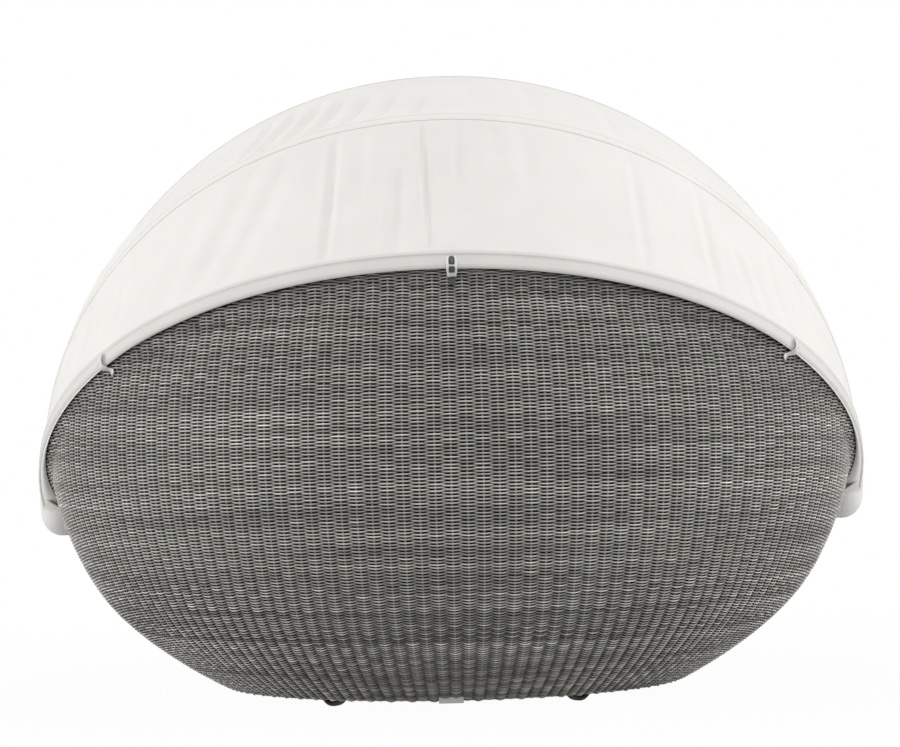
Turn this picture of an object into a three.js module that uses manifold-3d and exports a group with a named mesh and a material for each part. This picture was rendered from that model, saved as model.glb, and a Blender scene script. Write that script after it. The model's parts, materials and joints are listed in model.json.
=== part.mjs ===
// Canopy daybed: an egg-shaped woven bowl on castors, with a round mattress, back cushions and a cloth
// canopy on four flat bows that fold back about one axis.
// Millimetres, +Z up. The origin is on the floor under the middle of the daybed. The sitter looks along -Y,
// and +Y is the high back of the bowl. Left and right are as seen from the front, so left is -X. Sizes are
// worked out from the middle of the bowl.

import * as THREE from "three";
import { mergeVertices } from "three/addons/utils/BufferGeometryUtils.js";
import Module from "manifold-3d";

const wasm = await Module();
wasm.setup();

// Clearances shared by all pieces
const seatGap = 0.3;
const facetSpare = 2.8;
const cutOverrun = 20;

// Woven bowl: the lower and the upper half of an egg, both widest at the belly
const bowlHalfWidth = 856;
const bowlHalfDepth = 767;
const bowlFullness = 1.94;
const bellyHeight = 530;
const bellyToBottomPole = 622;
const bellyToTopPole = 787;
const bowlBottom = 21;
const bowlWall = 12;
const rimFrontHeight = 360;
const rimKnee = 60;
const rimDrop = 12;
const bowlColumns = 48;
const bowlRows = 8;
const bowlRowCrowding = 1.25;

// Frame tubes
const rimTubeRadius = 10;
const rimProud = 2;
const bottomRingRadius = 8;
const baseRingRadius = 12.5;
const deckRingRadius = 10;
const deckRingHeight = 219;
const ribRadius = 8;
const ribCount = 8;
const rimSides = 8;
const frameSides = 6;
const ringSteps = 32;
const ringNotch = 1.5;

// Seat deck
const slatThickness = 18;
const slatWidth = 120;
const slatCount = 6;
const slatEndClearance = 15.6;
const deckBeamWidth = 40;
const deckBeamDepth = 30;

// Castors, whose axles point at the middle of the bowl, so that the daybed turns on the spot
const castorSideShare = 0.54;
const castorForwardShare = 0.72;
const tyreRadius = 32.5;
const tyreWidth = 24;
const tyreSides = 16;
const axleSides = 8;
const tyreShoulder = 5;
const hubRadius = 21;
const hubWidth = 22;
const hubDish = 5;
const hubBossRadius = 8;
const axleRadius = 4;
const axleHeadRadius = 7;
const axleHeadLength = 4;
const bracketPlate = 60;
const bracketSheet = 4;
const bracketCheekWidth = 30;
const bracketPlay = 1;
const wheelHeadroom = 3.5;
const bearerWidth = 30;
const bearerDepth = 25;

// Canopy bows: flat bars, nested inside each other, on one bolt a side
const pivotForward = 89;
const pivotHeight = 400;
const bowWidth = 25;
const bowThickness = 5;
const bowPlay = 1;
const bowSideClearance = 26.5;
const bowBackClearance = 29.5;
const bowRise = 30;
const bowFullness = 2.044;
const bowSteps = 31;
const bowClothStart = THREE.MathUtils.degToRad(4);
const rearBowAngle = THREE.MathUtils.degToRad(59.6);
const openAngle = THREE.MathUtils.degToRad(26.8);
const bowLayers = ["rear_bow", "middle_bow_rear", "middle_bow_front", "front_bow"];

// Pivots
const pivotBoltRadius = 5;
const pivotSides = 12;
const bossSides = 12;
const capNutRadius = 11;
const capNutLength = 9;
const bossFaceRadius = 18;
const bossFootRadius = 27;
const bossFoot = 2;
const bossTaper = 6;
const bossWeb = 4;

// Canopy cloth
const clothThickness = 3;
const clothGap = 0.6;
const clothSplit = 1;
const clothSteps = 4;
const hemTurn = 8;
const hemCorner = 0.9;
const clothSag = 5;
const foldDepth = 8;
const foldCounts = [7, 11];
const pocketDepth = 51;
const pocketRadii = [56, 54, 46, 31];
const pocketSetbackShares = [0.98, 0.62, 0.37, 0.14];
const flapRadius = 92;
const flapThickness = 3;
const pocketSides = 20;
const pocketOpening = [-40, 80].map(THREE.MathUtils.degToRad);

// Hooks that hold the rear bow on the rim
const hookStrap = 3;
const hookWidth = 22;
const hookTongueWidth = 13;
const hookTongueReach = 14;
const hookPlay = 0.6;
const hookBackReach = 8;
const hookFootDepth = 12;
const hookFootReach = 40;
const hookSegments = [
  ["rim_hook_right", 6],
  ["rim_hook_centre", 15],
  ["rim_hook_left", 24],
];

// Mattress: shares of the half width and depth against shares of the thickness
const mattressSideClearance = 66;
const mattressEndClearance = 67;
const mattressThickness = 158;
const mattressCrown = 22;
const mattressColumns = 36;
const mattressSideShares = [
  [0.86, 0],
  [0.905, 0.03],
  [0.92, 0.1],
  [0.9, 0.25],
  [0.912, 0.5],
  [0.945, 0.75],
  [0.985, 0.89],
  [1, 0.95],
  [0.988, 1],
];
const mattressTopShares = [0.94, 0.82, 0.62, 0.38, 0.12];

// Back cushions: name, width, height, thickness, sideways, back, turn and lean
const degrees = THREE.MathUtils.degToRad;
const sideCushionSideClearance = 366;
const sideCushionBackClearance = 327;
const centreCushionBackClearance = 175;
const sideCushionX = bowlHalfWidth - sideCushionSideClearance;
const sideCushionY = bowlHalfDepth - sideCushionBackClearance;
const centreCushionY = bowlHalfDepth - centreCushionBackClearance;
const backCushions = [
  ["back_cushion_left", 480, 390, 150, -sideCushionX, sideCushionY, degrees(40), degrees(4)],
  ["back_cushion_centre", 560, 410, 150, 0, centreCushionY, degrees(0), degrees(7)],
  ["back_cushion_right", 480, 390, 150, sideCushionX, sideCushionY, degrees(-40), degrees(4)],
];
const cushionEdge = 5;
const cushionDrawnShare = 0.07;
const cushionFullness = 2.4;
const cushionShoulder = 0.62;
const cushionColumns = 12;
const cushionRows = 8;

// Sizes that follow from the ones above
const bowPitch = bowThickness + bowPlay;
const clothOut = bowThickness / 2 + clothGap + clothThickness / 2;
const clothEdge = bowWidth / 2 + clothThickness / 2;
const frontLayer = bowLayers.length - 1;
const rearBowHalfSpan = bowlHalfWidth + bowSideClearance;
const innerBowFace = rearBowHalfSpan - frontLayer * bowPitch - bowThickness / 2;
const outerBowFace = rearBowHalfSpan + bowThickness / 2;
const rimSlope = 1 / Math.tan(rearBowAngle);
const axleHeight = tyreRadius * Math.cos(Math.PI / tyreSides);
const bracketTop = axleHeight + tyreRadius + wheelHeadroom + bracketSheet;
const bearerHeight = bracketTop + seatGap + bearerDepth / 2;
const baseRingHeight = bearerHeight;
const deckTop = deckRingHeight + deckRingRadius + seatGap + slatThickness;
const mattressBottom = deckTop + seatGap;
const mattressHalfWidth = bowlHalfWidth - mattressSideClearance;
const mattressHalfDepth = bowlHalfDepth - mattressEndClearance;
const pocketFace = outerBowFace + seatGap + capNutLength + seatGap + flapThickness;

const { lerp } = THREE.MathUtils;

function finish(name, geometry, look) {
  const mesh = new THREE.Mesh(geometry, new THREE.MeshStandardMaterial(look));
  mesh.name = name;
  return mesh;
}

const looks = {
  weave: { color: 0x98968e, roughness: 0.7, metalness: 0 },
  frame: { color: 0x6d6d6a, roughness: 0.45, metalness: 0.6 },
  slat: { color: 0x8f8b83, roughness: 0.6, metalness: 0 },
  bow: { color: 0xb9bab8, roughness: 0.35, metalness: 0.9 },
  steel: { color: 0xa9aaa9, roughness: 0.3, metalness: 1 },
  rubber: { color: 0x151515, roughness: 0.8, metalness: 0 },
  plastic: { color: 0x2a2a2b, roughness: 0.5, metalness: 0 },
  canopy: { color: 0xf1efea, roughness: 0.9, metalness: 0 },
  cushion: { color: 0xe9e6df, roughness: 0.9, metalness: 0 },
};

// Solids and their joins and cuts

function bareMesh(geometry) {
  const bare = geometry.clone();
  bare.deleteAttribute("normal");
  bare.deleteAttribute("uv");
  return mergeVertices(bare);
}

function toSolid(geometry) {
  const bare = bareMesh(geometry);
  const vertProperties = new Float32Array(bare.attributes.position.array);
  const triVerts = new Uint32Array(bare.index.array);
  return new wasm.Manifold(new wasm.Mesh({ numProp: 3, vertProperties, triVerts }));
}

function toGeometry(solid) {
  const { vertProperties, triVerts, numProp } = solid.getMesh();
  const positions = [];
  for (let i = 0; i < vertProperties.length; i += numProp) {
    positions.push(...vertProperties.slice(i, i + 3));
  }
  const geometry = new THREE.BufferGeometry();
  geometry.setAttribute("position", new THREE.Float32BufferAttribute(positions, 3));
  geometry.setIndex([...triVerts]);
  geometry.computeVertexNormals();
  return geometry;
}

function largestPiece(solid) {
  return solid.decompose().reduce((a, b) => (a.volume() > b.volume() ? a : b));
}

function signedVolume(geometry) {
  const { position } = geometry.attributes;
  const at = (i) => new THREE.Vector3().fromBufferAttribute(position, geometry.index.getX(i));
  let volume = 0;
  for (let i = 0; i < geometry.index.count; i += 3) {
    volume += at(i).dot(at(i + 1).cross(at(i + 2)));
  }
  return volume;
}

// Joins closed loops of points into one skin. The loops run round a ring, or the first and last are capped.
function loft(loops, closed = false) {
  const size = loops[0].length;
  const spans = closed ? loops.length : loops.length - 1;
  const indices = [];
  for (let i = 0; i < spans; i += 1) {
    for (let j = 0; j < size; j += 1) {
      const a = i * size + j;
      const b = i * size + ((j + 1) % size);
      const c = ((i + 1) % loops.length) * size + j;
      const d = ((i + 1) % loops.length) * size + ((j + 1) % size);
      indices.push(a, b, d, a, d, c);
    }
  }
  const last = spans * size;
  for (let k = 0; !closed && k < size / 2 - 1; k += 1) {
    const m = size - 2 - k;
    indices.push(k + 1, k, m + 1, k + 1, m + 1, m);
    indices.push(last + k, last + k + 1, last + m, last + k, last + m, last + m + 1);
  }
  const geometry = new THREE.BufferGeometry();
  const positions = loops.flat().flatMap((point) => point.toArray());
  geometry.setAttribute("position", new THREE.Float32BufferAttribute(positions, 3));
  geometry.setIndex(indices);
  if (signedVolume(geometry) < 0) {
    geometry.setIndex(indices.toReversed());
  }
  geometry.computeVertexNormals();
  return geometry;
}

// The corners of a round tube's section, square to the path
function tubeSection(centre, along, reference, radius, sides) {
  const side = along.clone().cross(reference).normalize();
  const up = side.clone().cross(along).normalize();
  return Array.from({ length: sides }, (_, i) => {
    const angle = (2 * Math.PI * i) / sides;
    const corner = centre.clone().addScaledVector(side, radius * Math.cos(angle));
    return corner.addScaledVector(up, radius * Math.sin(angle));
  });
}

// A round tube along a closed path
function ringTube(pathPoint, radius, steps = ringSteps, sides = frameSides) {
  const turn = (2 * Math.PI) / steps;
  const upright = new THREE.Vector3(0, 0, 1);
  const loops = Array.from({ length: steps }, (_, i) => {
    const along = pathPoint((i + 1) * turn).sub(pathPoint((i - 1) * turn));
    return tubeSection(pathPoint(i * turn), along, upright, radius, sides);
  });
  return loft(loops, true);
}

function plate(shape, depth) {
  return new THREE.ExtrudeGeometry(shape, { depth, bevelEnabled: false, curveSegments: 5 });
}

function box(width, depth, height, x, y, z) {
  return new THREE.BoxGeometry(width, depth, height).translate(x, y, z);
}

// A cylinder or any turned profile of [radius, distance] along +X from the middle of the daybed
function turnedAlongX(profile, sides) {
  const points = profile.map(([radius, distance]) => new THREE.Vector2(radius, distance));
  return toGeometry(toSolid(new THREE.LatheGeometry(points, sides).rotateZ(-Math.PI / 2)));
}

function mirrored(geometry) {
  const copy = bareMesh(geometry).scale(-1, 1, 1);
  copy.setIndex([...copy.index.array].reverse());
  return copy;
}

// The bowl

function eggScale(z) {
  const pole = z < bellyHeight ? bellyToBottomPole : bellyToTopPole;
  return Math.sqrt(1 - ((z - bellyHeight) / pole) ** 2);
}

function signedPower(value, power) {
  return Math.sign(value) * Math.abs(value) ** power;
}

// A point at height z on the egg, moved in level by as much as puts it the inset under the surface
function bowlPoint(z, angle, inset = 0) {
  const scale = eggScale(z);
  const x = bowlHalfWidth * scale * signedPower(Math.cos(angle), 2 / bowlFullness);
  const y = bowlHalfDepth * scale * signedPower(Math.sin(angle), 2 / bowlFullness);
  const pole = z < bellyHeight ? bellyToBottomPole : bellyToTopPole;
  const normal = new THREE.Vector3(
    signedPower(x / bowlHalfWidth, bowlFullness - 1) / bowlHalfWidth,
    signedPower(y / bowlHalfDepth, bowlFullness - 1) / bowlHalfDepth,
    (scale ** (bowlFullness - 2) * (z - bellyHeight)) / pole ** 2,
  );
  const level = Math.hypot(normal.x, normal.y);
  const push = (inset * normal.length()) / level ** 2;
  return new THREE.Vector3(x - normal.x * push, y - normal.y * push, z);
}

// Behind the pivots the rim lies in the plane of the rear bow, and it levels out in front of them
function rimHeight(y) {
  const kneeY = -pivotForward - (pivotHeight - rimFrontHeight) / rimSlope;
  const climb = rimKnee * Math.log1p(Math.exp((y - kneeY) / rimKnee));
  return rimFrontHeight + rimSlope * climb - rimDrop;
}

const rimInset = rimTubeRadius - rimProud;
const rimSearchTurns = 14;

function rimPoint(angle) {
  let z = bellyHeight;
  for (let i = 0; i < rimSearchTurns; i += 1) {
    z = rimHeight(bowlPoint(z, angle, rimInset).y);
  }
  return bowlPoint(z, angle, rimInset);
}

// The rear bow reaches from the pivots to behind the back of the rim
const rimBack = rimPoint(Math.PI / 2);
const rimReach = Math.hypot(rimBack.y + pivotForward, rimBack.z - pivotHeight);
const rearBowReach = rimReach + bowBackClearance;

// The height at which the wall stops under the rim tube, which slopes along the rim
function wallTop(angle) {
  const step = Math.PI / bowlColumns;
  const along = rimPoint(angle + step).sub(rimPoint(angle - step));
  const drop = ((rimTubeRadius + seatGap) * along.length()) / Math.hypot(along.x, along.y);
  return rimPoint(angle).z - drop;
}

function bowlSkin(angle, inset) {
  const points = [];
  for (let i = 0; i <= bowlRows; i += 1) {
    const z = lerp(bowlBottom, wallTop(angle), (i / bowlRows) ** bowlRowCrowding);
    points.push(bowlPoint(z, angle, inset));
  }
  return points;
}

// The same line carried on to the height of the rim tube's middle
function skinToRim(angle, inset) {
  return [...bowlSkin(angle, inset), bowlPoint(rimPoint(angle).z, angle, inset)];
}

function bowlAngles() {
  return Array.from({ length: bowlColumns }, (_, j) => (2 * Math.PI * j) / bowlColumns);
}

function wovenBowl() {
  const loops = bowlAngles().map((angle) => [
    ...bowlSkin(angle, 0),
    ...bowlSkin(angle, bowlWall).reverse(),
  ]);
  return loft(loops, true);
}

function rim(radius) {
  return ringTube(rimPoint, radius, bowlColumns, rimSides);
}

const rimCutter = toSolid(rim(rimTubeRadius + seatGap));

// The closed egg up to the rim, which cuts the foot of whatever stands on the outside
function bowlCutter() {
  const skins = bowlAngles().map((angle) => skinToRim(angle, -seatGap));
  const rings = skins[0].map((_, row) => skins.map((skin) => skin[row]));
  return toSolid(loft(rings)).add(rimCutter);
}

const bowlOutside = bowlCutter();

// The frame

function insideTube(height, radius, spare = 0) {
  return (angle) => bowlPoint(height, angle, bowlWall + facetSpare + seatGap + spare + radius);
}

const behindRibs = 2 * ribRadius - ringNotch;
const bottomRingPath = insideTube(bowlBottom + bottomRingRadius, bottomRingRadius);
const baseRingPath = insideTube(baseRingHeight, baseRingRadius, behindRibs);
const deckRingPath = insideTube(deckRingHeight, deckRingRadius, behindRibs);
const slatPitch = (2 * (deckRingPath(Math.PI / 2).y - slatEndClearance)) / slatCount;
const castorSideways = castorSideShare * bottomRingPath(0).x;
const castorForward = castorForwardShare * bottomRingPath(Math.PI / 2).y;

function rib(index) {
  const angle = ((index + 0.5) * 2 * Math.PI) / ribCount;
  const inset = bowlWall + facetSpare + seatGap + ribRadius;
  const path = skinToRim(angle, inset);
  const reference = new THREE.Vector3(Math.sin(angle), -Math.cos(angle), 0);
  const sections = path.map((point, i) => {
    const along = (path[i + 1] ?? point).clone().sub(path[i - 1] ?? point);
    return tubeSection(point, along, reference, ribRadius, frameSides);
  });
  const tube = toSolid(loft(sections));
  const crossings = [
    rimCutter,
    toSolid(ringTube(bottomRingPath, bottomRingRadius + seatGap)),
    toSolid(ringTube(baseRingPath, baseRingRadius + seatGap)),
    toSolid(ringTube(deckRingPath, deckRingRadius + seatGap)),
  ];
  const coped = crossings.reduce((left, crossing) => left.subtract(crossing), tube);
  return toGeometry(largestPiece(coped));
}

function slat(index) {
  const centre = (index - (slatCount - 1) / 2) * slatPitch;
  const ring = deckRingPath(0).x;
  const ringDepth = deckRingPath(Math.PI / 2).y;
  const overhang = deckRingRadius / 2;
  const edgeSteps = 4;
  const inside = (y) => (1 - Math.abs(y / ringDepth) ** bowlFullness) ** (1 / bowlFullness);
  const reach = (y) => ring * inside(y) + overhang;
  const points = [];
  for (let i = 0; i <= edgeSteps; i += 1) {
    const y = centre + slatWidth * (i / edgeSteps - 0.5);
    points.push(new THREE.Vector2(reach(y), y));
  }
  const back = points.map((point) => new THREE.Vector2(-point.x, point.y)).reverse();
  const shape = new THREE.Shape([...points, ...back]);
  return plate(shape, slatThickness).translate(0, 0, deckTop - slatThickness);
}

// A straight bar whose ends are coped to the inside of a ring
function copedBar(bar, ringPath, ringRadius) {
  const ring = toSolid(ringTube(ringPath, ringRadius + seatGap));
  return toGeometry(largestPiece(toSolid(bar).subtract(ring)));
}

function deckBeam() {
  const length = 2 * deckRingPath(Math.PI / 2).y;
  const height = deckTop - slatThickness - seatGap - deckBeamDepth / 2;
  return copedBar(box(deckBeamWidth, length, deckBeamDepth, 0, 0, height), deckRingPath, deckRingRadius);
}

function bearer(side) {
  const share = castorForward / baseRingPath(Math.PI / 2).y;
  const length = 2 * baseRingPath(0).x * Math.sqrt(1 - share ** 2);
  const bar = box(length, bearerWidth, bearerDepth, 0, side * castorForward, bearerHeight);
  return copedBar(bar, baseRingPath, baseRingRadius);
}

// Castors, built with the axle along +X, then turned and moved to their corner

const tyreBore = hubRadius + seatGap;
const cheekInside = tyreWidth / 2 + bracketPlay;
const cheekOutside = cheekInside + bracketSheet;

function tyre() {
  const half = tyreWidth / 2;
  const profile = [
    [tyreBore, -half + tyreShoulder / 2],
    [tyreRadius - tyreShoulder, -half],
    [tyreRadius, -half + tyreShoulder],
    [tyreRadius, half - tyreShoulder],
    [tyreRadius - tyreShoulder, half],
    [tyreBore, half - tyreShoulder / 2],
    [tyreBore, -half + tyreShoulder / 2],
  ];
  return turnedAlongX(profile, tyreSides);
}

function hub() {
  const half = hubWidth / 2 - tyreShoulder / 2;
  const bore = axleRadius + seatGap;
  const profile = [
    [bore, -hubWidth / 2],
    [hubBossRadius, -hubWidth / 2],
    [hubBossRadius + hubDish, -half + hubDish],
    [hubRadius, -half],
    [hubRadius, half],
    [hubBossRadius + hubDish, half - hubDish],
    [hubBossRadius, hubWidth / 2],
    [bore, hubWidth / 2],
    [bore, -hubWidth / 2],
  ];
  return turnedAlongX(profile, tyreSides);
}

function axle() {
  const neck = cheekOutside + seatGap;
  const end = neck + axleHeadLength;
  const profile = [
    [0, -end],
    [axleHeadRadius, -end],
    [axleHeadRadius, -neck],
    [axleRadius, -neck],
    [axleRadius, neck],
    [axleHeadRadius, neck],
    [axleHeadRadius, end],
    [0, end],
  ];
  return turnedAlongX(profile, axleSides);
}

function castorBracket() {
  const plateHeight = bracketTop - axleHeight - bracketSheet / 2;
  const top = toSolid(box(bracketPlate, bracketPlate, bracketSheet, 0, 0, plateHeight));
  const radius = bracketCheekWidth / 2;
  const cheek = new THREE.Shape();
  cheek.moveTo(radius, plateHeight);
  cheek.lineTo(-radius, plateHeight);
  cheek.lineTo(-radius, 0);
  cheek.absarc(0, 0, radius, Math.PI, 2 * Math.PI);
  cheek.closePath();
  cheek.holes.push(new THREE.Path().absarc(0, 0, axleRadius + seatGap, 0, 2 * Math.PI));
  const sheet = plate(cheek, bracketSheet).rotateX(Math.PI / 2).rotateZ(Math.PI / 2);
  const outer = toSolid(sheet.clone().translate(cheekInside, 0, 0));
  const inner = toSolid(sheet.clone().translate(-cheekOutside, 0, 0));
  return toGeometry(top.add(outer).add(inner));
}

const corners = [
  ["front_left", -1, -1],
  ["front_right", 1, -1],
  ["rear_left", -1, 1],
  ["rear_right", 1, 1],
];

function castors() {
  const group = new THREE.Group();
  const flatDown = (geometry) => geometry.rotateX(Math.PI / tyreSides);
  const parts = [
    ["castor_bracket", castorBracket(), looks.steel],
    ["castor_axle", axle(), looks.steel],
    ["castor_hub", flatDown(hub()), looks.plastic],
    ["castor_tyre", flatDown(tyre()), looks.rubber],
  ];
  for (const [corner, sideways, back] of corners) {
    const castor = new THREE.Group();
    castor.position.set(sideways * castorSideways, back * castorForward, axleHeight);
    castor.rotation.z = Math.atan2(back * castorForward, sideways * castorSideways);
    for (const [name, geometry, look] of parts) {
      castor.add(finish(`${name}_${corner}`, geometry.clone(), look));
    }
    group.add(castor);
  }
  return group;
}

// Bows, in their own plane: X across, Y through the bar's width, Z away from the pivot axis

function bowAngle(layer) {
  return rearBowAngle - layer * openAngle;
}

// Where the bow is at t, from 0 at the right to pi at the left, on a curve grown by out
function archPoint(t, layer, out = 0) {
  const grow = out - layer * bowPitch;
  const share = 2 / bowFullness;
  const across = signedPower(Math.cos(t), share);
  const away = Math.sin(t) ** share;
  return new THREE.Vector2(
    across * (rearBowHalfSpan + grow),
    bowRise + away * (rearBowReach - bowRise + grow),
  );
}

// Stations along the part of a bow that carries cloth
function clothStations() {
  const last = Math.PI - bowClothStart;
  return Array.from({ length: bowSteps + 1 }, (_, i) => lerp(bowClothStart, last, i / bowSteps));
}

function archEdge(layer, out) {
  const arch = [0, ...clothStations(), Math.PI].map((t) => archPoint(t, layer, out));
  const foot = -bowWidth / 2;
  return [new THREE.Vector2(arch[0].x, foot), ...arch, new THREE.Vector2(arch.at(-1).x, foot)];
}

function bow(layer) {
  const edge = archEdge(layer, bowThickness / 2);
  const inner = archEdge(layer, -bowThickness / 2).reverse();
  const band = plate(new THREE.Shape([...edge, ...inner]), bowWidth);
  band.rotateX(Math.PI / 2).translate(0, bowWidth / 2, 0);
  const rounding = new THREE.Shape();
  rounding.moveTo(bowWidth / 2, rearBowReach + cutOverrun);
  rounding.lineTo(-bowWidth / 2, rearBowReach + cutOverrun);
  rounding.lineTo(-bowWidth / 2, 0);
  rounding.absarc(0, 0, bowWidth / 2, Math.PI, 2 * Math.PI);
  rounding.closePath();
  const span = 2 * (rearBowHalfSpan + cutOverrun);
  const roundEnds = plate(rounding, span).rotateX(Math.PI / 2).rotateZ(Math.PI / 2);
  roundEnds.translate(-span / 2, 0, 0);
  const hole = [
    [0, -span / 2],
    [pivotBoltRadius + seatGap, -span / 2],
    [pivotBoltRadius + seatGap, span / 2],
    [0, span / 2],
  ];
  const drilled = toSolid(band).intersect(toSolid(roundEnds));
  return toGeometry(drilled.subtract(toSolid(turnedAlongX(hole, pivotSides))));
}

function bowGroup(layer) {
  const group = new THREE.Group();
  group.position.set(0, -pivotForward, pivotHeight);
  group.rotation.x = -bowAngle(layer);
  group.add(finish(bowLayers[layer], bow(layer), looks.bow));
  return group;
}

// The same point in the daybed's frame, moved by side through the bar's width, towards the front
function bowPoint(t, layer, out, side) {
  const { x, y } = archPoint(t, layer, out);
  const angle = bowAngle(layer);
  return new THREE.Vector3(
    x,
    -pivotForward + y * Math.sin(angle) - side * Math.cos(angle),
    pivotHeight + y * Math.cos(angle) + side * Math.sin(angle),
  );
}

// Canopy cloth

// The hem wraps round a bar's outer edge. Going is 1 for the front bow and -1 for the rear bow.
function hem(t, layer, going) {
  const edge = bowWidth / 2 + clothGap + clothThickness / 2;
  return [
    bowPoint(t, layer, clothOut, going * (edge - hemCorner)),
    bowPoint(t, layer, clothOut - hemCorner, going * edge),
    bowPoint(t, layer, hemCorner - clothOut, going * edge),
    bowPoint(t, layer, -clothOut, going * (edge - hemCorner)),
    bowPoint(t, layer, -clothOut, -going * hemTurn),
  ];
}

// The cloth between two bows hangs a little inside the straight line, in soft folds that die out at the bars
function clothBetween(t, layer) {
  const start = bowPoint(t, layer, clothOut, clothEdge);
  const end = bowPoint(t, layer + 1, clothOut, -clothEdge);
  const inward = bowPoint(t, layer, 0, 0).sub(bowPoint(t, layer, clothThickness, 0)).normalize();
  const points = [start];
  for (let i = 1; i <= clothSteps; i += 1) {
    const share = i / (clothSteps + 1);
    const hang = Math.sin(Math.PI * share) * Math.sin(t);
    const ripple = foldCounts.reduce((sum, count) => sum + Math.sin(2 * count * t + layer * count), 0);
    const depth = hang * (clothSag + (foldDepth * ripple) / foldCounts.length);
    points.push(start.clone().lerp(end, share).addScaledVector(inward, depth));
  }
  return [...points, end];
}

function clothLine(t, layer) {
  const first = layer === 0;
  const last = layer + 1 === frontLayer;
  const begin = first ? hem(t, layer, -1).reverse() : [bowPoint(t, layer, clothOut, clothSplit / 2)];
  const finishing = last ? hem(t, layer + 1, 1) : [bowPoint(t, layer + 1, clothOut, -clothSplit / 2)];
  return [...begin, ...clothBetween(t, layer), ...finishing];
}

// Thickens lines of points into a sheet, half to each side
function sheet(lines) {
  const direction = (points, i) => {
    const before = points[i].clone().sub(points[i - 1] ?? points[i]).normalize();
    const after = (points[i + 1] ?? points[i]).clone().sub(points[i]).normalize();
    return before.add(after);
  };
  const loops = lines.map((line, i) => {
    const normals = line.map((_, j) => {
      const column = lines.map((other) => other[j]);
      return direction(line, j).cross(direction(column, i)).normalize();
    });
    const move = (amount) => line.map((point, j) => point.clone().addScaledVector(normals[j], amount));
    return [...move(clothThickness / 2), ...move(-clothThickness / 2).reverse()];
  });
  return loft(loops);
}

function canopyPanel(layer) {
  return sheet(clothStations().map((t) => clothLine(t, layer)));
}

// The round end of the canopy, drawn over the pivot like a pocket, on the +X side
function canopyPocket() {
  const distances = pocketSetbackShares.map((share) => pocketFace - pocketDepth * share);
  const outside = pocketRadii.map((radius, i) => [radius, distances[i]]);
  const inside = outside.map(([radius, distance]) => [radius - flapThickness, distance - flapThickness / 2]);
  inside[0][1] = outside[0][1];
  const dome = [
    ...outside,
    [capNutRadius, pocketFace],
    [0, pocketFace],
    [0, pocketFace - flapThickness],
    [capNutRadius, pocketFace - flapThickness],
    ...inside.reverse(),
    outside[0],
  ];
  const [frontEdge, rearEdge] = pocketOpening;
  const far = 2 * flapRadius;
  const nearPivot = capNutRadius + flapThickness;
  const opening = new THREE.Shape();
  opening.moveTo(nearPivot * Math.sin(rearEdge), nearPivot * Math.cos(rearEdge));
  opening.lineTo(far * Math.sin(rearEdge), far * Math.cos(rearEdge));
  opening.lineTo(0, far);
  opening.lineTo(far * Math.sin(frontEdge), far * Math.cos(frontEdge));
  opening.lineTo(nearPivot * Math.sin(frontEdge), nearPivot * Math.cos(frontEdge));
  const standing = (shape, depth) => plate(shape, depth).rotateX(Math.PI / 2).rotateZ(Math.PI / 2);
  const wedge = standing(opening, pocketDepth + cutOverrun);
  wedge.translate(pocketFace - pocketDepth - cutOverrun / 2, 0, 0);
  const flap = new THREE.Shape();
  flap.moveTo(0, 0);
  flap.lineTo(flapRadius * Math.sin(rearEdge), flapRadius * Math.cos(rearEdge));
  flap.absarc(0, 0, flapRadius, Math.PI / 2 - rearEdge, Math.PI / 2 - frontEdge);
  flap.closePath();
  const flapSheet = standing(flap, flapThickness).translate(pocketFace - flapThickness, 0, 0);
  const cup = toSolid(turnedAlongX(dome, pocketSides)).subtract(toSolid(wedge));
  const pocket = toGeometry(largestPiece(cup.add(toSolid(flapSheet))));
  return pocket.translate(0, -pivotForward, pivotHeight);
}

// Pivots, on the +X side, standing on the rim tube

const pivotShare = pivotForward / (bowlHalfDepth * eggScale(pivotHeight));
const rimFace = rimPoint(-Math.asin(pivotShare ** (bowlFullness / 2))).x + rimTubeRadius;

function pivotBoss() {
  const face = innerBowFace - seatGap;
  const bore = pivotBoltRadius + seatGap;
  const profile = [
    [0, rimFace - rimTubeRadius],
    [bossFootRadius, rimFace - rimTubeRadius],
    [bossFootRadius, rimFace + bossFoot],
    [bossFaceRadius, rimFace + bossFoot + bossTaper],
    [bossFaceRadius, face],
    [bore, face],
    [bore, rimFace + bossWeb],
    [0, rimFace + bossWeb],
  ];
  return turnedAlongX(profile, bossSides).translate(0, -pivotForward, pivotHeight);
}

function pivotBolt() {
  const start = rimFace + bossWeb + seatGap;
  const nut = outerBowFace + seatGap;
  const profile = [
    [0, start],
    [pivotBoltRadius, start],
    [pivotBoltRadius, nut],
    [capNutRadius, nut],
    [capNutRadius, nut + capNutLength / 2],
    [capNutRadius / 2, nut + capNutLength],
    [0, nut + capNutLength],
  ];
  return turnedAlongX(profile, pivotSides).translate(0, -pivotForward, pivotHeight);
}

// J-shaped hooks: a foot on the rim, a back plate, a bend under the hem and a narrow tongue outside it

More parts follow.
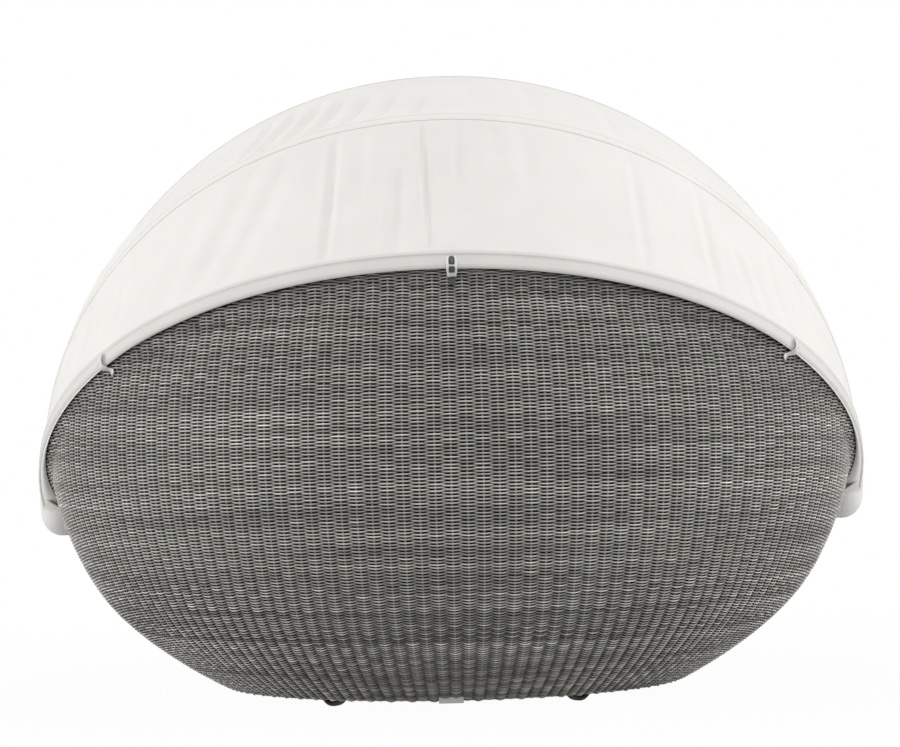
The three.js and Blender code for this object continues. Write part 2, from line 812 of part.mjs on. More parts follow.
function rimHook(segment) {
  const inside = clothOut + clothThickness / 2 + hookPlay;
  const outside = inside + hookStrap;
  const under = bowWidth / 2 + clothGap + clothThickness + hookPlay;
  const bottom = under + hookStrap;
  const foot = outside + hookFootReach;
  const wide = new THREE.Shape();
  wide.moveTo(-outside, hookBackReach);
  wide.lineTo(-outside, hookFootDepth - under);
  wide.lineTo(-foot, hookFootDepth - under);
  wide.lineTo(-foot, -under);
  wide.lineTo(-outside, -under);
  wide.lineTo(-inside, -bottom);
  wide.lineTo(inside, -bottom);
  wide.lineTo(outside, -under);
  wide.lineTo(outside, -under + hookFootDepth);
  wide.lineTo(inside, -under + hookFootDepth);
  wide.lineTo(inside, -under);
  wide.lineTo(-inside, -under);
  wide.lineTo(-inside, hookBackReach);
  const tongue = new THREE.Shape();
  const tip = hookTongueWidth / 2;
  tongue.moveTo(-tip, -bottom + hookStrap);
  tongue.lineTo(tip, -bottom + hookStrap);
  tongue.lineTo(tip, hookTongueReach - tip);
  tongue.absarc(0, hookTongueReach - tip, tip, 0, Math.PI);
  tongue.closePath();
  const wideSolid = plate(wide, hookWidth).rotateX(Math.PI / 2).translate(0, hookWidth / 2, 0);
  const tongueSolid = plate(tongue, hookStrap).rotateX(Math.PI / 2).rotateZ(Math.PI / 2);
  tongueSolid.translate(inside, 0, 0);
  const hook = toGeometry(toSolid(wideSolid).add(toSolid(tongueSolid)));
  const [from, to] = clothStations().slice(segment).map((t) => bowPoint(t, 0, 0, 0));
  const up = bowPoint(0, 0, 0, 1).sub(bowPoint(0, 0, 0, 0)).normalize();
  const along = to.clone().sub(from).normalize();
  const out = along.clone().cross(up);
  const place = new THREE.Matrix4().makeBasis(out, along, up).setPosition(from.lerp(to, 0.5));
  return outsideBowl(bareMesh(hook).applyMatrix4(place));
}

// Cushions

function mattressTop(x, y) {
  const share = Math.min(Math.hypot(x / mattressHalfWidth, y / mattressHalfDepth), 1);
  return mattressBottom + mattressThickness + mattressCrown * (1 - share ** 2);
}

function mattress() {
  const ring = (share, height) =>
    Array.from({ length: mattressColumns }, (_, i) => {
      const angle = (2 * Math.PI * i) / mattressColumns;
      const x = share * mattressHalfWidth * Math.cos(angle);
      const y = share * mattressHalfDepth * Math.sin(angle);
      return new THREE.Vector3(x, y, height ?? mattressTop(x, y));
    });
  const side = mattressSideShares.map(([share, rise]) => {
    return ring(share, mattressBottom + rise * mattressThickness);
  });
  return loft([...side, ...mattressTopShares.map((share) => ring(share))]);
}

// Lowers a cushion on to the mattress until it touches
function restOnMattress(geometry) {
  const { position } = geometry.attributes;
  let lift = -Infinity;
  for (let i = 0; i < position.count; i += 1) {
    const top = mattressTop(position.getX(i), position.getY(i));
    lift = Math.max(lift, top - position.getZ(i));
  }
  return geometry.translate(0, 0, lift + seatGap);
}

function backCushion(width, height, thickness, sideways, back, turn, lean) {
  const bulge = (u, v) => {
    const round = (1 - Math.abs(u) ** cushionFullness) * (1 - Math.abs(v) ** cushionFullness);
    return cushionEdge + (thickness / 2 - cushionEdge) * round ** cushionShoulder;
  };
  const loops = [];
  for (let i = 0; i <= cushionColumns; i += 1) {
    const u = -Math.cos((Math.PI * i) / cushionColumns);
    const line = (face) =>
      Array.from({ length: cushionRows + 1 }, (_, j) => {
        const v = -Math.cos((Math.PI * j) / cushionRows);
        const x = (width / 2) * u * (1 - cushionDrawnShare * (1 - v ** 2));
        const z = (height / 2) * v * (1 - cushionDrawnShare * (1 - u ** 2));
        return new THREE.Vector3(x, face * bulge(u, v), z);
      });
    loops.push([...line(1), ...line(-1).reverse()]);
  }
  const cushion = loft(loops).rotateX(-lean).rotateZ(turn);
  return restOnMattress(cushion.translate(sideways, back, 0));
}

function outsideBowl(geometry) {
  return toGeometry(largestPiece(toSolid(geometry).subtract(bowlOutside)));
}

function bothSides(group, name, geometry, look, fit = (piece) => piece) {
  group.add(finish(`${name}_right`, fit(geometry), look));
  group.add(finish(`${name}_left`, fit(mirrored(geometry)), look));
}

const daybed = new THREE.Group();
daybed.add(finish("woven_bowl", wovenBowl(), looks.weave));
daybed.add(finish("rim_tube", rim(rimTubeRadius), looks.weave));
daybed.add(finish("bottom_ring", ringTube(bottomRingPath, bottomRingRadius), looks.frame));
daybed.add(finish("base_ring", ringTube(baseRingPath, baseRingRadius), looks.frame));
daybed.add(finish("deck_ring", ringTube(deckRingPath, deckRingRadius), looks.frame));
for (let i = 0; i < ribCount; i += 1) {
  daybed.add(finish(`frame_rib_${i + 1}`, rib(i), looks.frame));
}
daybed.add(finish("deck_beam", deckBeam(), looks.frame));
for (let i = 0; i < slatCount; i += 1) {
  daybed.add(finish(`deck_slat_${i + 1}`, slat(i), looks.slat));
}
daybed.add(finish("castor_bearer_front", bearer(-1), looks.frame));
daybed.add(finish("castor_bearer_rear", bearer(1), looks.frame));
daybed.add(castors());
for (const layer of bowLayers.keys()) {
  daybed.add(bowGroup(layer));
}
bothSides(daybed, "pivot_boss", pivotBoss(), looks.steel, outsideBowl);
bothSides(daybed, "pivot_bolt", pivotBolt(), looks.steel);
for (const [name, segment] of hookSegments) {
  daybed.add(finish(name, rimHook(segment), looks.steel));
}
["canopy_rear_panel", "canopy_middle_panel", "canopy_front_panel"].forEach((name, layer) => {
  daybed.add(finish(name, canopyPanel(layer), looks.canopy));
});
bothSides(daybed, "canopy_pocket", canopyPocket(), looks.canopy);
daybed.add(finish("seat_mattress", mattress(), looks.cushion));
for (const [name, ...sizes] of backCushions) {
  daybed.add(finish(name, backCushion(...sizes), looks.cushion));
}

// The origin goes on the floor under the middle of the whole daybed
daybed.updateMatrixWorld(true);
const middle = new THREE.Box3().setFromObject(daybed, true).getCenter(new THREE.Vector3());
daybed.position.set(-middle.x, -middle.y, 0);

export default daybed;
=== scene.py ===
import json
import math

import bmesh
import bpy
import numpy as np
from mathutils import Matrix, Vector
from mathutils.bvhtree import BVHTree


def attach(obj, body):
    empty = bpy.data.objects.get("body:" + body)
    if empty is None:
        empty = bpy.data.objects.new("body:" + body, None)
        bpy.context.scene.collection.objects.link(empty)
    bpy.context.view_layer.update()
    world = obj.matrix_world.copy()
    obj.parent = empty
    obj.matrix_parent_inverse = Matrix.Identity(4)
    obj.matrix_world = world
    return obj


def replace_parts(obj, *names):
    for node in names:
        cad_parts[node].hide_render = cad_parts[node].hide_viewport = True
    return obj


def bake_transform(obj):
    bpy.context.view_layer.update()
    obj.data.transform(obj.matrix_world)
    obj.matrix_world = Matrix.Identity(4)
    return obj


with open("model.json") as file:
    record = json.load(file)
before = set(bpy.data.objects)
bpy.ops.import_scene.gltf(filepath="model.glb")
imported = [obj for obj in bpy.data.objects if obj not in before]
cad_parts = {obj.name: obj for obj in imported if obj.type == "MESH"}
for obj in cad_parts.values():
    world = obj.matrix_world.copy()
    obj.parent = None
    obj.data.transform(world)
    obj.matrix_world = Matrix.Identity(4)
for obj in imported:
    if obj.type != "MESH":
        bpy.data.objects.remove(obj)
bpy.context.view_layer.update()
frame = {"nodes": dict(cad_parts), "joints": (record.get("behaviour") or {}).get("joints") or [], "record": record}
nodes = frame["nodes"]
scene = bpy.context.scene
MM = 0.001
random = np.random.default_rng(7)

# Where things are, in millimetres from the middle of the bowl, as for the solids in model.glb
pivot_joint = [j for j in frame["joints"] if j["name"] == "middle_rear_bow_fold"][0]
PIVOT_FORWARD = 89
PIVOT_HEIGHT = 400
SHIFT_Y = pivot_joint["pos_m"][1] / MM + PIVOT_FORWARD
HALF_WIDTH = 856
HALF_DEPTH = 767
FULLNESS = 1.94
BELLY = 530
BOTTOM_POLE = 622
TOP_POLE = 787
BOWL_BOTTOM = 21
RIM_FRONT = 360
RIM_KNEE = 60
RIM_DROP = 12
RIM_INSET = 8
RIM_RADIUS = 10
BOW_SIDE_CLEARANCE = 26.5
BOW_BACK_CLEARANCE = 29.5
BOW_RISE = 30
BOW_FULLNESS = 2.044
BOW_PITCH = 6
REAR_BOW_ANGLE = math.radians(59.6)
OPEN_ANGLE = math.radians(26.8)
BAR_HALF_WIDTH = 12.5
CLOTH_START = math.radians(4)
FRONT_LAYER = 3


def to_world(points):
    """Millimetres from the middle of the bowl to metres in the row frame."""
    moved = np.array(points, float)
    moved[..., 1] += SHIFT_Y
    return moved * MM


def power(value, exponent):
    return np.sign(value) * np.abs(value) ** exponent


def unit(vectors):
    return vectors / np.maximum(np.linalg.norm(vectors, axis=-1, keepdims=True), 1e-12)


def smooth(value):
    value = np.clip(value, 0, 1)
    return value * value * (3 - 2 * value)


def ring_turns(steps):
    return 2 * np.pi * np.arange(steps) / steps


def run_length(path):
    """The length along a path up to each of its points."""
    return np.concatenate([[0], np.cumsum(np.linalg.norm(np.diff(path, axis=0), axis=1))])


def points_at(where, length, path):
    """Values of a path at given lengths along it."""
    return np.stack([np.interp(where, length, path[:, k]) for k in range(3)], -1)


# Materials
THREAD_SCALE = 75


def shader_of(made):
    return made.node_tree.nodes["Principled BSDF"]


def feed(made, socket, key):
    made.node_tree.links.new(socket, shader_of(made).inputs[key])


def material(name, color, rough, metal=0.0, **inputs):
    made = bpy.data.materials.new(name)
    made.use_nodes = True
    values = {"Base Color": (*color, 1), "Roughness": rough, "Metallic": metal, **inputs}
    for key, value in values.items():
        shader_of(made).inputs[key.replace("_", " ")].default_value = value
    return made


def node(made, kind, inputs=(), **settings):
    new = made.node_tree.nodes.new(kind)
    for key, value in settings.items():
        setattr(new, key, value)
    for key, value in dict(inputs).items():
        if isinstance(value, bpy.types.NodeSocket):
            made.node_tree.links.new(value, new.inputs[key])
        else:
            new.inputs[key].default_value = value
    return new


def place(made, stretch=(1, 1, 1)):
    """Object coordinates, stretched."""
    where = node(made, "ShaderNodeTexCoord").outputs["Object"]
    return node(made, "ShaderNodeMapping", {"Vector": where, "Scale": stretch}).outputs[0]


def noise(made, scale, detail=2.0, stretch=(1, 1, 1), rough=0.5):
    inputs = {"Vector": place(made, stretch), "Scale": scale, "Detail": detail, "Roughness": rough}
    return node(made, "ShaderNodeTexNoise", inputs).outputs[0]


def math_node(made, operation, a, b=0.0, clamp=False):
    return node(made, "ShaderNodeMath", {0: a, 1: b}, operation=operation, use_clamp=clamp).outputs[0]


def shades(made, factor, color, *stops):
    """Base colour from a ramp over factor. Each stop is a position and what the colour is multiplied by."""
    ramp = node(made, "ShaderNodeValToRGB", {"Fac": factor})
    points = ramp.color_ramp.elements
    while len(points) < len(stops):
        points.new(0.5)
    for point, (position, level) in zip(points, stops):
        point.position = position
        point.color = (*(min(c * level, 1) for c in color), 1)
    feed(made, ramp.outputs[0], "Base Color")
    return made


def bump(made, height, strength, distance, **under):
    inputs = {"Height": height, "Strength": strength, "Distance": distance, **under}
    return node(made, "ShaderNodeBump", inputs).outputs[0]


def relief(made, *height, **under):
    feed(made, bump(made, *height, **under), "Normal")
    return made


def fibre():
    """Round woven fibre: tone from strand to strand and along it, with a fine drawn grain. Each point's tone
    scales the colour, and on the strands it holds painted light and shade.
    """
    color = (0.56, 0.546, 0.505)
    made = material("weave_fibre", color, 0.5, Specular_IOR_Level=0.45)
    bands = noise(made, 26, 3, (0.04, 0.04, 1))
    strands = noise(made, 60, 2, (0.3, 0.3, 5))
    mixed = math_node(made, "MULTIPLY", math_node(made, "ADD", bands, strands), 0.5)
    shades(made, mixed, color, (0.34, 0.6), (0.5, 1.0), (0.68, 1.5))
    plain = shader_of(made).inputs["Base Color"].links[0].from_socket
    # The tone attribute: on the strands, painted light and shade with random tone
    tone = node(made, "ShaderNodeAttribute", attribute_name="tone").outputs["Fac"]
    scaled = node(made, "ShaderNodeVectorMath", {0: plain, "Scale": tone}, operation="SCALE")
    feed(made, scaled.outputs[0], "Base Color")
    return relief(made, noise(made, 900, 2, (1, 1, 4)), 0.35, 0.0003)


def cloth(name, color):
    """Plain woven outdoor cloth: threads both ways, fine creases and a faint cloudiness."""
    made = material(name, color, 0.9, Sheen_Weight=0.15, Sheen_Roughness=0.5, Specular_IOR_Level=0.25)
    turned = node(made, "ShaderNodeMapping", {"Vector": place(made), "Rotation": (0.6, 0.4, 0.8)})
    inputs = {"Vector": turned.outputs[0], "Scale": THREAD_SCALE, "Distortion": 0.6, "Detail": 1.0}
    x, y, z = (node(made, "ShaderNodeTexWave", inputs, bands_direction=d).outputs["Fac"] for d in "XYZ")
    weave = math_node(made, "MULTIPLY", math_node(made, "MULTIPLY", x, y), z)
    wrinkled = bump(made, noise(made, 16, 3, (1, 1, 0.22), 0.6), 0.5, 0.004)
    relief(made, math_node(made, "ADD", weave, noise(made, 700)), 0.25, 0.0004, Normal=wrinkled)
    return shades(made, noise(made, 9, 4), color, (0.3, 0.965), (0.65, 1.0))


def metal(name, color, rough, grain=(1, 1, 1)):
    made = material(name, color, rough, 1.0)
    shades(made, noise(made, 220, 3, grain), color, (0.3, 0.85), (0.7, 1.08))
    return relief(made, noise(made, 900, 2, grain), 0.08, 0.0002)


def painted(name, color, rough=0.45):
    made = material(name, color, rough, Specular_IOR_Level=0.5)
    shades(made, noise(made, 30, 4), color, (0.3, 0.88), (0.7, 1.06))
    return relief(made, noise(made, 1400), 0.12, 0.0002)


def wood():
    color = (0.30, 0.235, 0.165)
    made = material("slat_wood", color, 0.6)
    grain = noise(made, 9, 6, (0.7, 14, 14), 0.65)
    shades(made, grain, color, (0.3, 0.6), (0.52, 1.0), (0.75, 1.3))
    return relief(made, grain, 0.3, 0.0006)


FIBRE = fibre()
# Painted shade for the gaps between the weave's strands
GAP_SHADE_PAINT = painted("painted_gap_shade", (0.008, 0.008, 0.007), 0.9)
CANVAS = cloth("canopy_canvas", (0.86, 0.842, 0.808))
# The canopy cloth painted darker for the hems: painted shade
HEM_CANVAS_SHADED = cloth("canopy_hem_canvas_shaded", (0.752, 0.737, 0.706))
# Painted shade for the gap between the rear hem and the rim
HEM_GAP_SHADE_PAINT = painted("hem_gap_shade", (0.02, 0.02, 0.02), 0.8)
CUSHION = cloth("cushion_canvas", (0.80, 0.775, 0.715))
PIPING = cloth("cushion_piping", (0.60, 0.567, 0.5))
THREAD = painted("thread", (0.80, 0.79, 0.75), 0.7)
BOW_METAL = metal("bow_aluminium", (0.62, 0.62, 0.61), 0.36, (1, 1, 6))
STEEL = metal("fitting_steel", (0.55, 0.55, 0.54), 0.3)
CLIP = painted("clip_pale", (0.82, 0.815, 0.795), 0.4)
# Dark colour of the centre clip's tongue and foot, and painted shade on its slot
CLIP_DARK = painted("clip_tongue", (0.055, 0.058, 0.058))
FRAME_PAINT = painted("frame_paint", (0.12, 0.12, 0.118))
SLAT_WOOD = wood()
RUBBER = painted("tyre_rubber", (0.012, 0.012, 0.013), 0.7)
PLASTIC = painted("hub_plastic", (0.03, 0.03, 0.031), 0.5)
PLATE = painted("bare_plate", (0.92, 0.93, 0.925), 0.5)

# Meshes
END_SHARE = 0.02


def new_object(name, data):
    made = bpy.data.objects.new(name, data)
    scene.collection.objects.link(made)
    return made


def modify(made, name, kind, **settings):
    new = made.modifiers.new(name, kind)
    for key, value in settings.items():
        setattr(new, key, value)


def mesh_object(name, points, faces, look, body="bowl", tone=None):
    """A mesh from points in metres and faces of equal size. Tone scales the colour at each point; on the weave's
    strands it holds painted light and shade.
    """
    points = np.asarray(points, np.float32).reshape(-1, 3)
    faces = np.asarray(faces, np.int32)
    data = bpy.data.meshes.new(name)
    data.vertices.add(len(points))
    data.vertices.foreach_set("co", points.ravel())
    data.loops.add(faces.size)
    data.loops.foreach_set("vertex_index", faces.ravel())
    data.polygons.add(len(faces))
    data.polygons.foreach_set("loop_start", np.arange(0, faces.size, faces.shape[1], dtype=np.int32))
    data.polygons.foreach_set("use_smooth", np.ones(len(faces), bool))
    data.update(calc_edges=True)
    if tone is not None:
        tones = np.full(len(points), tone, np.float32)
        data.attributes.new("tone", "FLOAT", "POINT").data.foreach_set("value", tones)
    data.validate()
    made = new_object(name, data)
    data.materials.append(look)
    if body:
        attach(made, body)
    return made


def grid_faces(rows, columns, close_rows=False, close_columns=False):
    """Quads of a grid of points numbered row by row."""
    i = np.arange(rows if close_rows else rows - 1)[:, None]
    j = np.arange(columns if close_columns else columns - 1)[None, :]
    below, beside = (i + 1) % rows, (j + 1) % columns
    corners = (i * columns + j, i * columns + beside, below * columns + beside, below * columns + j)
    return np.stack([np.broadcast_to(c, (i.size, j.size)) for c in corners], -1).reshape(-1, 4)


def border_of(rows, columns):
    """Numbers of the points round the border of a grid, and of the points that follow them."""
    index = np.arange(rows * columns).reshape(rows, columns)
    loop = np.concatenate([index[0], index[1:, -1], index[-1, -2::-1], index[-2:0:-1, 0]])
    return loop, np.roll(loop, -1)


def tube_points(path, out, radius, sides):
    """Rings of points round a path. Out is a direction off the path at each of its points."""
    along = unit(np.gradient(path, axis=0))
    across = unit(np.cross(along, out))
    off = np.cross(across, along)
    turn = ring_turns(sides)[:, None]
    return path[:, None] + radius * (off[:, None] * np.cos(turn) + across[:, None] * np.sin(turn))


def closed_tube(path, out, radius, sides):
    """The same for a path whose last point joins its first."""
    wrapped = np.concatenate([path[-1:], path, path[:1]])
    outs = np.concatenate([out[-1:], out, out[:1]])
    return tube_points(wrapped, outs, radius, sides)[1:-1]


def capped(rings):
    """Rings of points with a tiny ring added inside each end, which closes the tube."""
    centre = rings.mean(axis=1, keepdims=True)
    tucked = centre + (rings - centre) * END_SHARE
    return np.concatenate([tucked[:1], rings, tucked[-1:]])


# The bowl's egg
RIM_SLOPE = 1 / math.tan(REAR_BOW_ANGLE)
RIM_ROUNDS = 14


def egg(z, angle, inset=0.0):
    """Points on the egg at heights z, moved in level so that they lie the inset under it, and the normals."""
    z, angle = np.broadcast_arrays(np.asarray(z, float), np.asarray(angle, float))
    pole = np.where(z < BELLY, BOTTOM_POLE, TOP_POLE)
    scale = np.sqrt(1 - ((z - BELLY) / pole) ** 2)
    x = HALF_WIDTH * scale * power(np.cos(angle), 2 / FULLNESS)
    y = HALF_DEPTH * scale * power(np.sin(angle), 2 / FULLNESS)
    nx = power(x / HALF_WIDTH, FULLNESS - 1) / HALF_WIDTH
    ny = power(y / HALF_DEPTH, FULLNESS - 1) / HALF_DEPTH
    nz = scale ** (FULLNESS - 2) * (z - BELLY) / pole**2
    level = np.hypot(nx, ny)
    push = inset * np.sqrt(level**2 + nz**2) / level**2
    return np.stack([x - nx * push, y - ny * push, z], -1), unit(np.stack([nx, ny, nz], -1))


def rim_height(y):
    knee = -PIVOT_FORWARD - (PIVOT_HEIGHT - RIM_FRONT) / RIM_SLOPE
    climb = RIM_KNEE * np.log1p(np.exp((y - knee) / RIM_KNEE))
    return RIM_FRONT + RIM_SLOPE * climb - RIM_DROP


def rim_point(angle):
    """Points of the rim tube's middle, which lie on the egg and at the rim's height."""
    z = np.full(np.shape(angle), float(BELLY))
    for _ in range(RIM_ROUNDS):
        z = rim_height(egg(z, angle, RIM_INSET)[0][..., 1])
    return egg(z, angle, RIM_INSET)[0]


# Weave: stakes up the wall, and strands that pass each stake in front and behind by turns
STAKES = 168
STAKE_RADIUS = 1.9
STAKE_STEPS = 64
STAKE_SIDES = 6
STAKE_TONE = 0.6
STAKE_SPREAD = 0.65
STRAND_RADIUS = 1.68
STRAND_THINNER = 0.15
STRAND_PITCH = 3.3
STRAND_STEPS = 4
STRAND_SIDES = 5
WEAVE_INSET = 5.6
WEAVE_SWING = 3.5
WEAVE_LIP = 13.2
WEAVE_PIECES = 8
LIP_TOP = 10
LIP_UNDER = 8
LIP_START = 30
LIP_LENGTH = 24

# The wall is fuller low down, and its strands swing wider there
FULL_HEIGHT = 200
FULL_REACH = 95
FULL_DEPTH = 7
LOW_STARTS = 340
LOW_SWING = 1.1
LOW_SWING_STARTS = 380
LOW_FADE = 200

# How far strands stray up and down, and how their tone varies from row to row and along a row
STRAY = 0.26
RUN_SPREAD = 0.13
ROW_SPREAD = 0.1
LOW_RUN = 1.3

# Painted light and shade round a strand: each side is lighter or darker by the way it faces, as a plain share with
# a share for out and for up, high on the wall and low down
SIDE_PAINTED_LIGHT = ((0.62, 0.3, -0.42), (0.20, 0.98, -0.10))
UNDERSIDE_PAINTED_LIGHT = 0.4

# Painted light and shade along a strand: lighter where it passes in front of a stake and darker behind it and
# where it crosses, as a plain share, one that grows to the front, and one for both front and back
SWING_PAINTED_LIGHT = ((0.72, 0.28, 0), (0.25, 0.5, 0.3))
WOUND_TONE = 0.5


def angles_at(turns, z=BELLY):
    """Angles of points that are evenly spaced round the belly. Lower down they draw in less at the middle."""
    fine = np.linspace(0, 2 * np.pi, 20001)
    length = run_length(egg(BELLY, fine, WEAVE_INSET)[0])
    quarter = np.floor(turns * 4)
    share = turns * 4 - quarter
    from_middle = np.where(quarter % 2 == 0, 1 - share, share)
    scale = np.sqrt(1 - ((np.minimum(z, BELLY) - BELLY) / BOTTOM_POLE) ** 2)
    from_middle = from_middle * (1 + STAKE_SPREAD * (1 - scale) * (1 - from_middle**2))
    share = np.where(quarter % 2 == 0, 1 - from_middle, from_middle)
    return np.interp((quarter + share) / 4 * length[-1], length, fine)


def lip_inset(z, rim):
    """How far under the egg the weave lies: it comes out over the rim tube at the top."""
    share = smooth((z - rim + LIP_START) / LIP_LENGTH)
    round_tube = RIM_INSET - np.sqrt(WEAVE_LIP**2 - np.clip(z - rim, -LIP_UNDER, LIP_TOP) ** 2)
    wall = WEAVE_INSET - FULL_DEPTH * np.exp(-(((z - FULL_HEIGHT) / FULL_REACH) ** 2))
    return wall + (round_tube - wall) * share


def row_heights():
    fine = np.linspace(BOWL_BOTTOM + 2, rim_point(np.pi / 2)[2] + LIP_TOP, 8001)
    length = run_length(egg(fine, np.pi / 2, WEAVE_INSET)[0])
    return np.interp(np.arange(0, length[-1], STRAND_PITCH), length, fine)


def low_share(z, start):
    """0 above the start and 1 well below it."""
    return min(max((start - z) / LOW_FADE, 0), 1)


def round_row(values, samples):
    """Values that are spaced evenly round a row, at each of its samples."""
    spots = np.linspace(0, samples, len(values), endpoint=False)
    return np.interp(np.arange(samples), spots, values, period=samples)


def strand_rows():
    """Each row's rings of points, which of its steps lie under the rim, and its tones, which hold painted light
    and shade.
    """
    samples = STAKES * STRAND_STEPS
    turns = np.arange(samples) / samples
    stake_phase = power(np.cos(np.pi * np.arange(samples) / STRAND_STEPS), 0.8)
    heights = row_heights()
    strays = random.normal(0, STRAY, (len(heights), STAKES // 2))
    runs = random.normal(0, RUN_SPREAD, (len(heights), STAKES // 6))
    runs = runs + random.normal(0, ROW_SPREAD, (len(heights), 1))
    out, up = np.cos(ring_turns(STRAND_SIDES)), np.sin(ring_turns(STRAND_SIDES))
    side_light_high, side_light_low = (plain + a * out + b * up for plain, a, b in SIDE_PAINTED_LIGHT)
    side_light_high[2] = UNDERSIDE_PAINTED_LIGHT
    rows = []
    for row, z in enumerate(heights):
        low = low_share(z, LOW_STARTS)
        angles = angles_at(turns, z)
        rim = rim_point(angles)[:, 2]
        points, normals = egg(z, angles, lip_inset(z, rim))
        swing = (WEAVE_SWING + LOW_SWING * low_share(z, LOW_SWING_STARTS)) * stake_phase * (-1) ** row
        path = points + normals * swing[:, None]
        path[:, 2] += round_row(strays[row], samples)
        ring = closed_tube(path, normals, STRAND_RADIUS - STRAND_THINNER * low, STRAND_SIDES)
        inside = z < rim + LIP_TOP
        # Painted light where the strand passes in front of a stake, and painted shade behind it and where it
        # crosses, stronger and darker low down
        forward = swing / np.abs(swing).max()
        high_level, low_level = (plain + a * forward + b * np.abs(forward) for plain, a, b in SWING_PAINTED_LIGHT)
        level = high_level + (low_level - high_level) * low
        level = level * np.exp(round_row(runs[row], samples) * (1 + LOW_RUN * low))
        # Painted light and shade by the side of the strand that each point lies on, with more contrast low down
        facing = side_light_high + (side_light_low - side_light_high) * low
        rows.append((ring, inside & np.roll(inside, -1), np.clip(level[:, None] * facing, 0.05, 2)))
    return rows


def weave_band(rows, number):
    """One piece of the weave from some of its rows."""
    points, faces, tones = [], [], []
    start = 0
    for ring, kept, tone in rows:
        quads = grid_faces(kept.size, STRAND_SIDES, True, True).reshape(-1, STRAND_SIDES, 4)
        quads = quads[kept].reshape(-1, 4)
        used = np.unique(quads)
        index = np.full(tone.size, -1)
        index[used] = np.arange(len(used)) + start
        points.append(ring.reshape(-1, 3)[used])
        tones.append(tone.ravel()[used])
        faces.append(index[quads][:, ::-1])
        start += len(used)
    points, faces, tones = (np.concatenate(v) for v in (points, faces, tones))
    return mesh_object(f"weave_{number}", to_world(points), faces, FIBRE, tone=tones)


def weave():
    """The strands, in pieces of about the same size from the bottom up."""
    rows = strand_rows()
    total = sum(kept.sum() for _, kept, _ in rows)
    made, band = [], []
    for row in rows:
        band.append(row)
        if sum(kept.sum() for _, kept, _ in band) >= total / WEAVE_PIECES or row is rows[-1]:
            made.append(weave_band(band, len(made) + 1))
            band = []
    return made


def stakes():
    share = np.linspace(0, 1, STAKE_STEPS) ** 1.1
    points, faces = [], []
    for number in range(STAKES):
        turn = np.array([number / STAKES])
        top = float(rim_point(angles_at(turn))[0, 2])
        z = BOWL_BOTTOM - 1 + (top - BOWL_BOTTOM) * share
        path, normals = egg(z, angles_at(turn, z), lip_inset(z, top))
        points.append(tube_points(path, normals, STAKE_RADIUS, STAKE_SIDES).reshape(-1, 3))
        quads = grid_faces(STAKE_STEPS, STAKE_SIDES, False, True)[:, ::-1]
        faces.append(quads + number * STAKE_STEPS * STAKE_SIDES)
    points, faces = to_world(np.concatenate(points)), np.concatenate(faces)
    mesh_object("weave_stakes", points, faces, FIBRE, tone=STAKE_TONE)


def wound(name, path, core, strand, pitch, steps, sides=5):
    """A strand wound round a closed path."""
    looped = np.concatenate([path, path[:1]])
    length = run_length(looped)
    count = round(length[-1] / pitch) * steps
    centre = points_at(np.arange(count) / count * length[-1], length, looped)
    along = unit(np.roll(centre, -1, axis=0) - np.roll(centre, 1, axis=0))
    side = unit(np.cross(along, [0.0, 0.0, 1.0]))
    up = np.cross(side, along)
    turn = 2 * np.pi * np.arange(count)[:, None] / steps
    out = side * np.cos(turn) + up * np.sin(turn)
    points = closed_tube(centre + core * out, out, strand, sides)
    faces = grid_faces(count, sides, True, True)[:, ::-1]
    return mesh_object(name, to_world(points), faces, FIBRE, tone=WOUND_TONE)


def weave_gap_shade_sheet():
    """A dark sheet between the strands, painted shade for the gaps of the weave, which also keeps light from
    coming through the wall.
    """
    columns, rows = 336, 60
    half_thick = 0.4
    angles = angles_at(np.arange(columns) / columns)
    top = rim_point(angles)[:, 2]
    z = BOWL_BOTTOM + 1 + np.linspace(0, 1, rows)[None, :] * (top[:, None] - BOWL_BOTTOM)
    inset = lip_inset(z, top[:, None])
    outer = egg(z, angles[:, None], inset - half_thick)[0]
    inner = egg(z, angles[:, None], inset + half_thick)[0]
    loops = np.concatenate([outer, inner[:, ::-1]], axis=1)
    faces = grid_faces(columns, 2 * rows, True, True)
    mesh_object("weave_gap_shade_sheet", to_world(loops), faces, GAP_SHADE_PAINT)


around = angles_at(np.arange(1400) / 1400)
weave_gap_shade_sheet()
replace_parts(weave()[0], "woven_bowl")
stakes()
rim_wrap = wound("rim_wrap", rim_point(around), core=RIM_RADIUS - 1.6, strand=1.75, pitch=3.7, steps=9)
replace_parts(rim_wrap, "rim_tube")
bottom = egg(BOWL_BOTTOM + 1.5, around, WEAVE_INSET)[0]
wound("bottom_border", bottom, core=2.2, strand=1.5, pitch=3.4, steps=8, sides=4)

# Bows and canopy cloth
rim_back = rim_point(np.array([np.pi / 2]))[0]
REAR_REACH = math.hypot(rim_back[1] + PIVOT_FORWARD, rim_back[2] - PIVOT_HEIGHT) + BOW_BACK_CLEARANCE
REAR_HALF_SPAN = HALF_WIDTH + BOW_SIDE_CLEARANCE
BODIES = ["bowl", "bow_1", "bow_2", "bow_3"]
PANEL_NAMES = ["rear", "middle", "front"]


def bow_angle(layer):
    return REAR_BOW_ANGLE - layer * OPEN_ANGLE


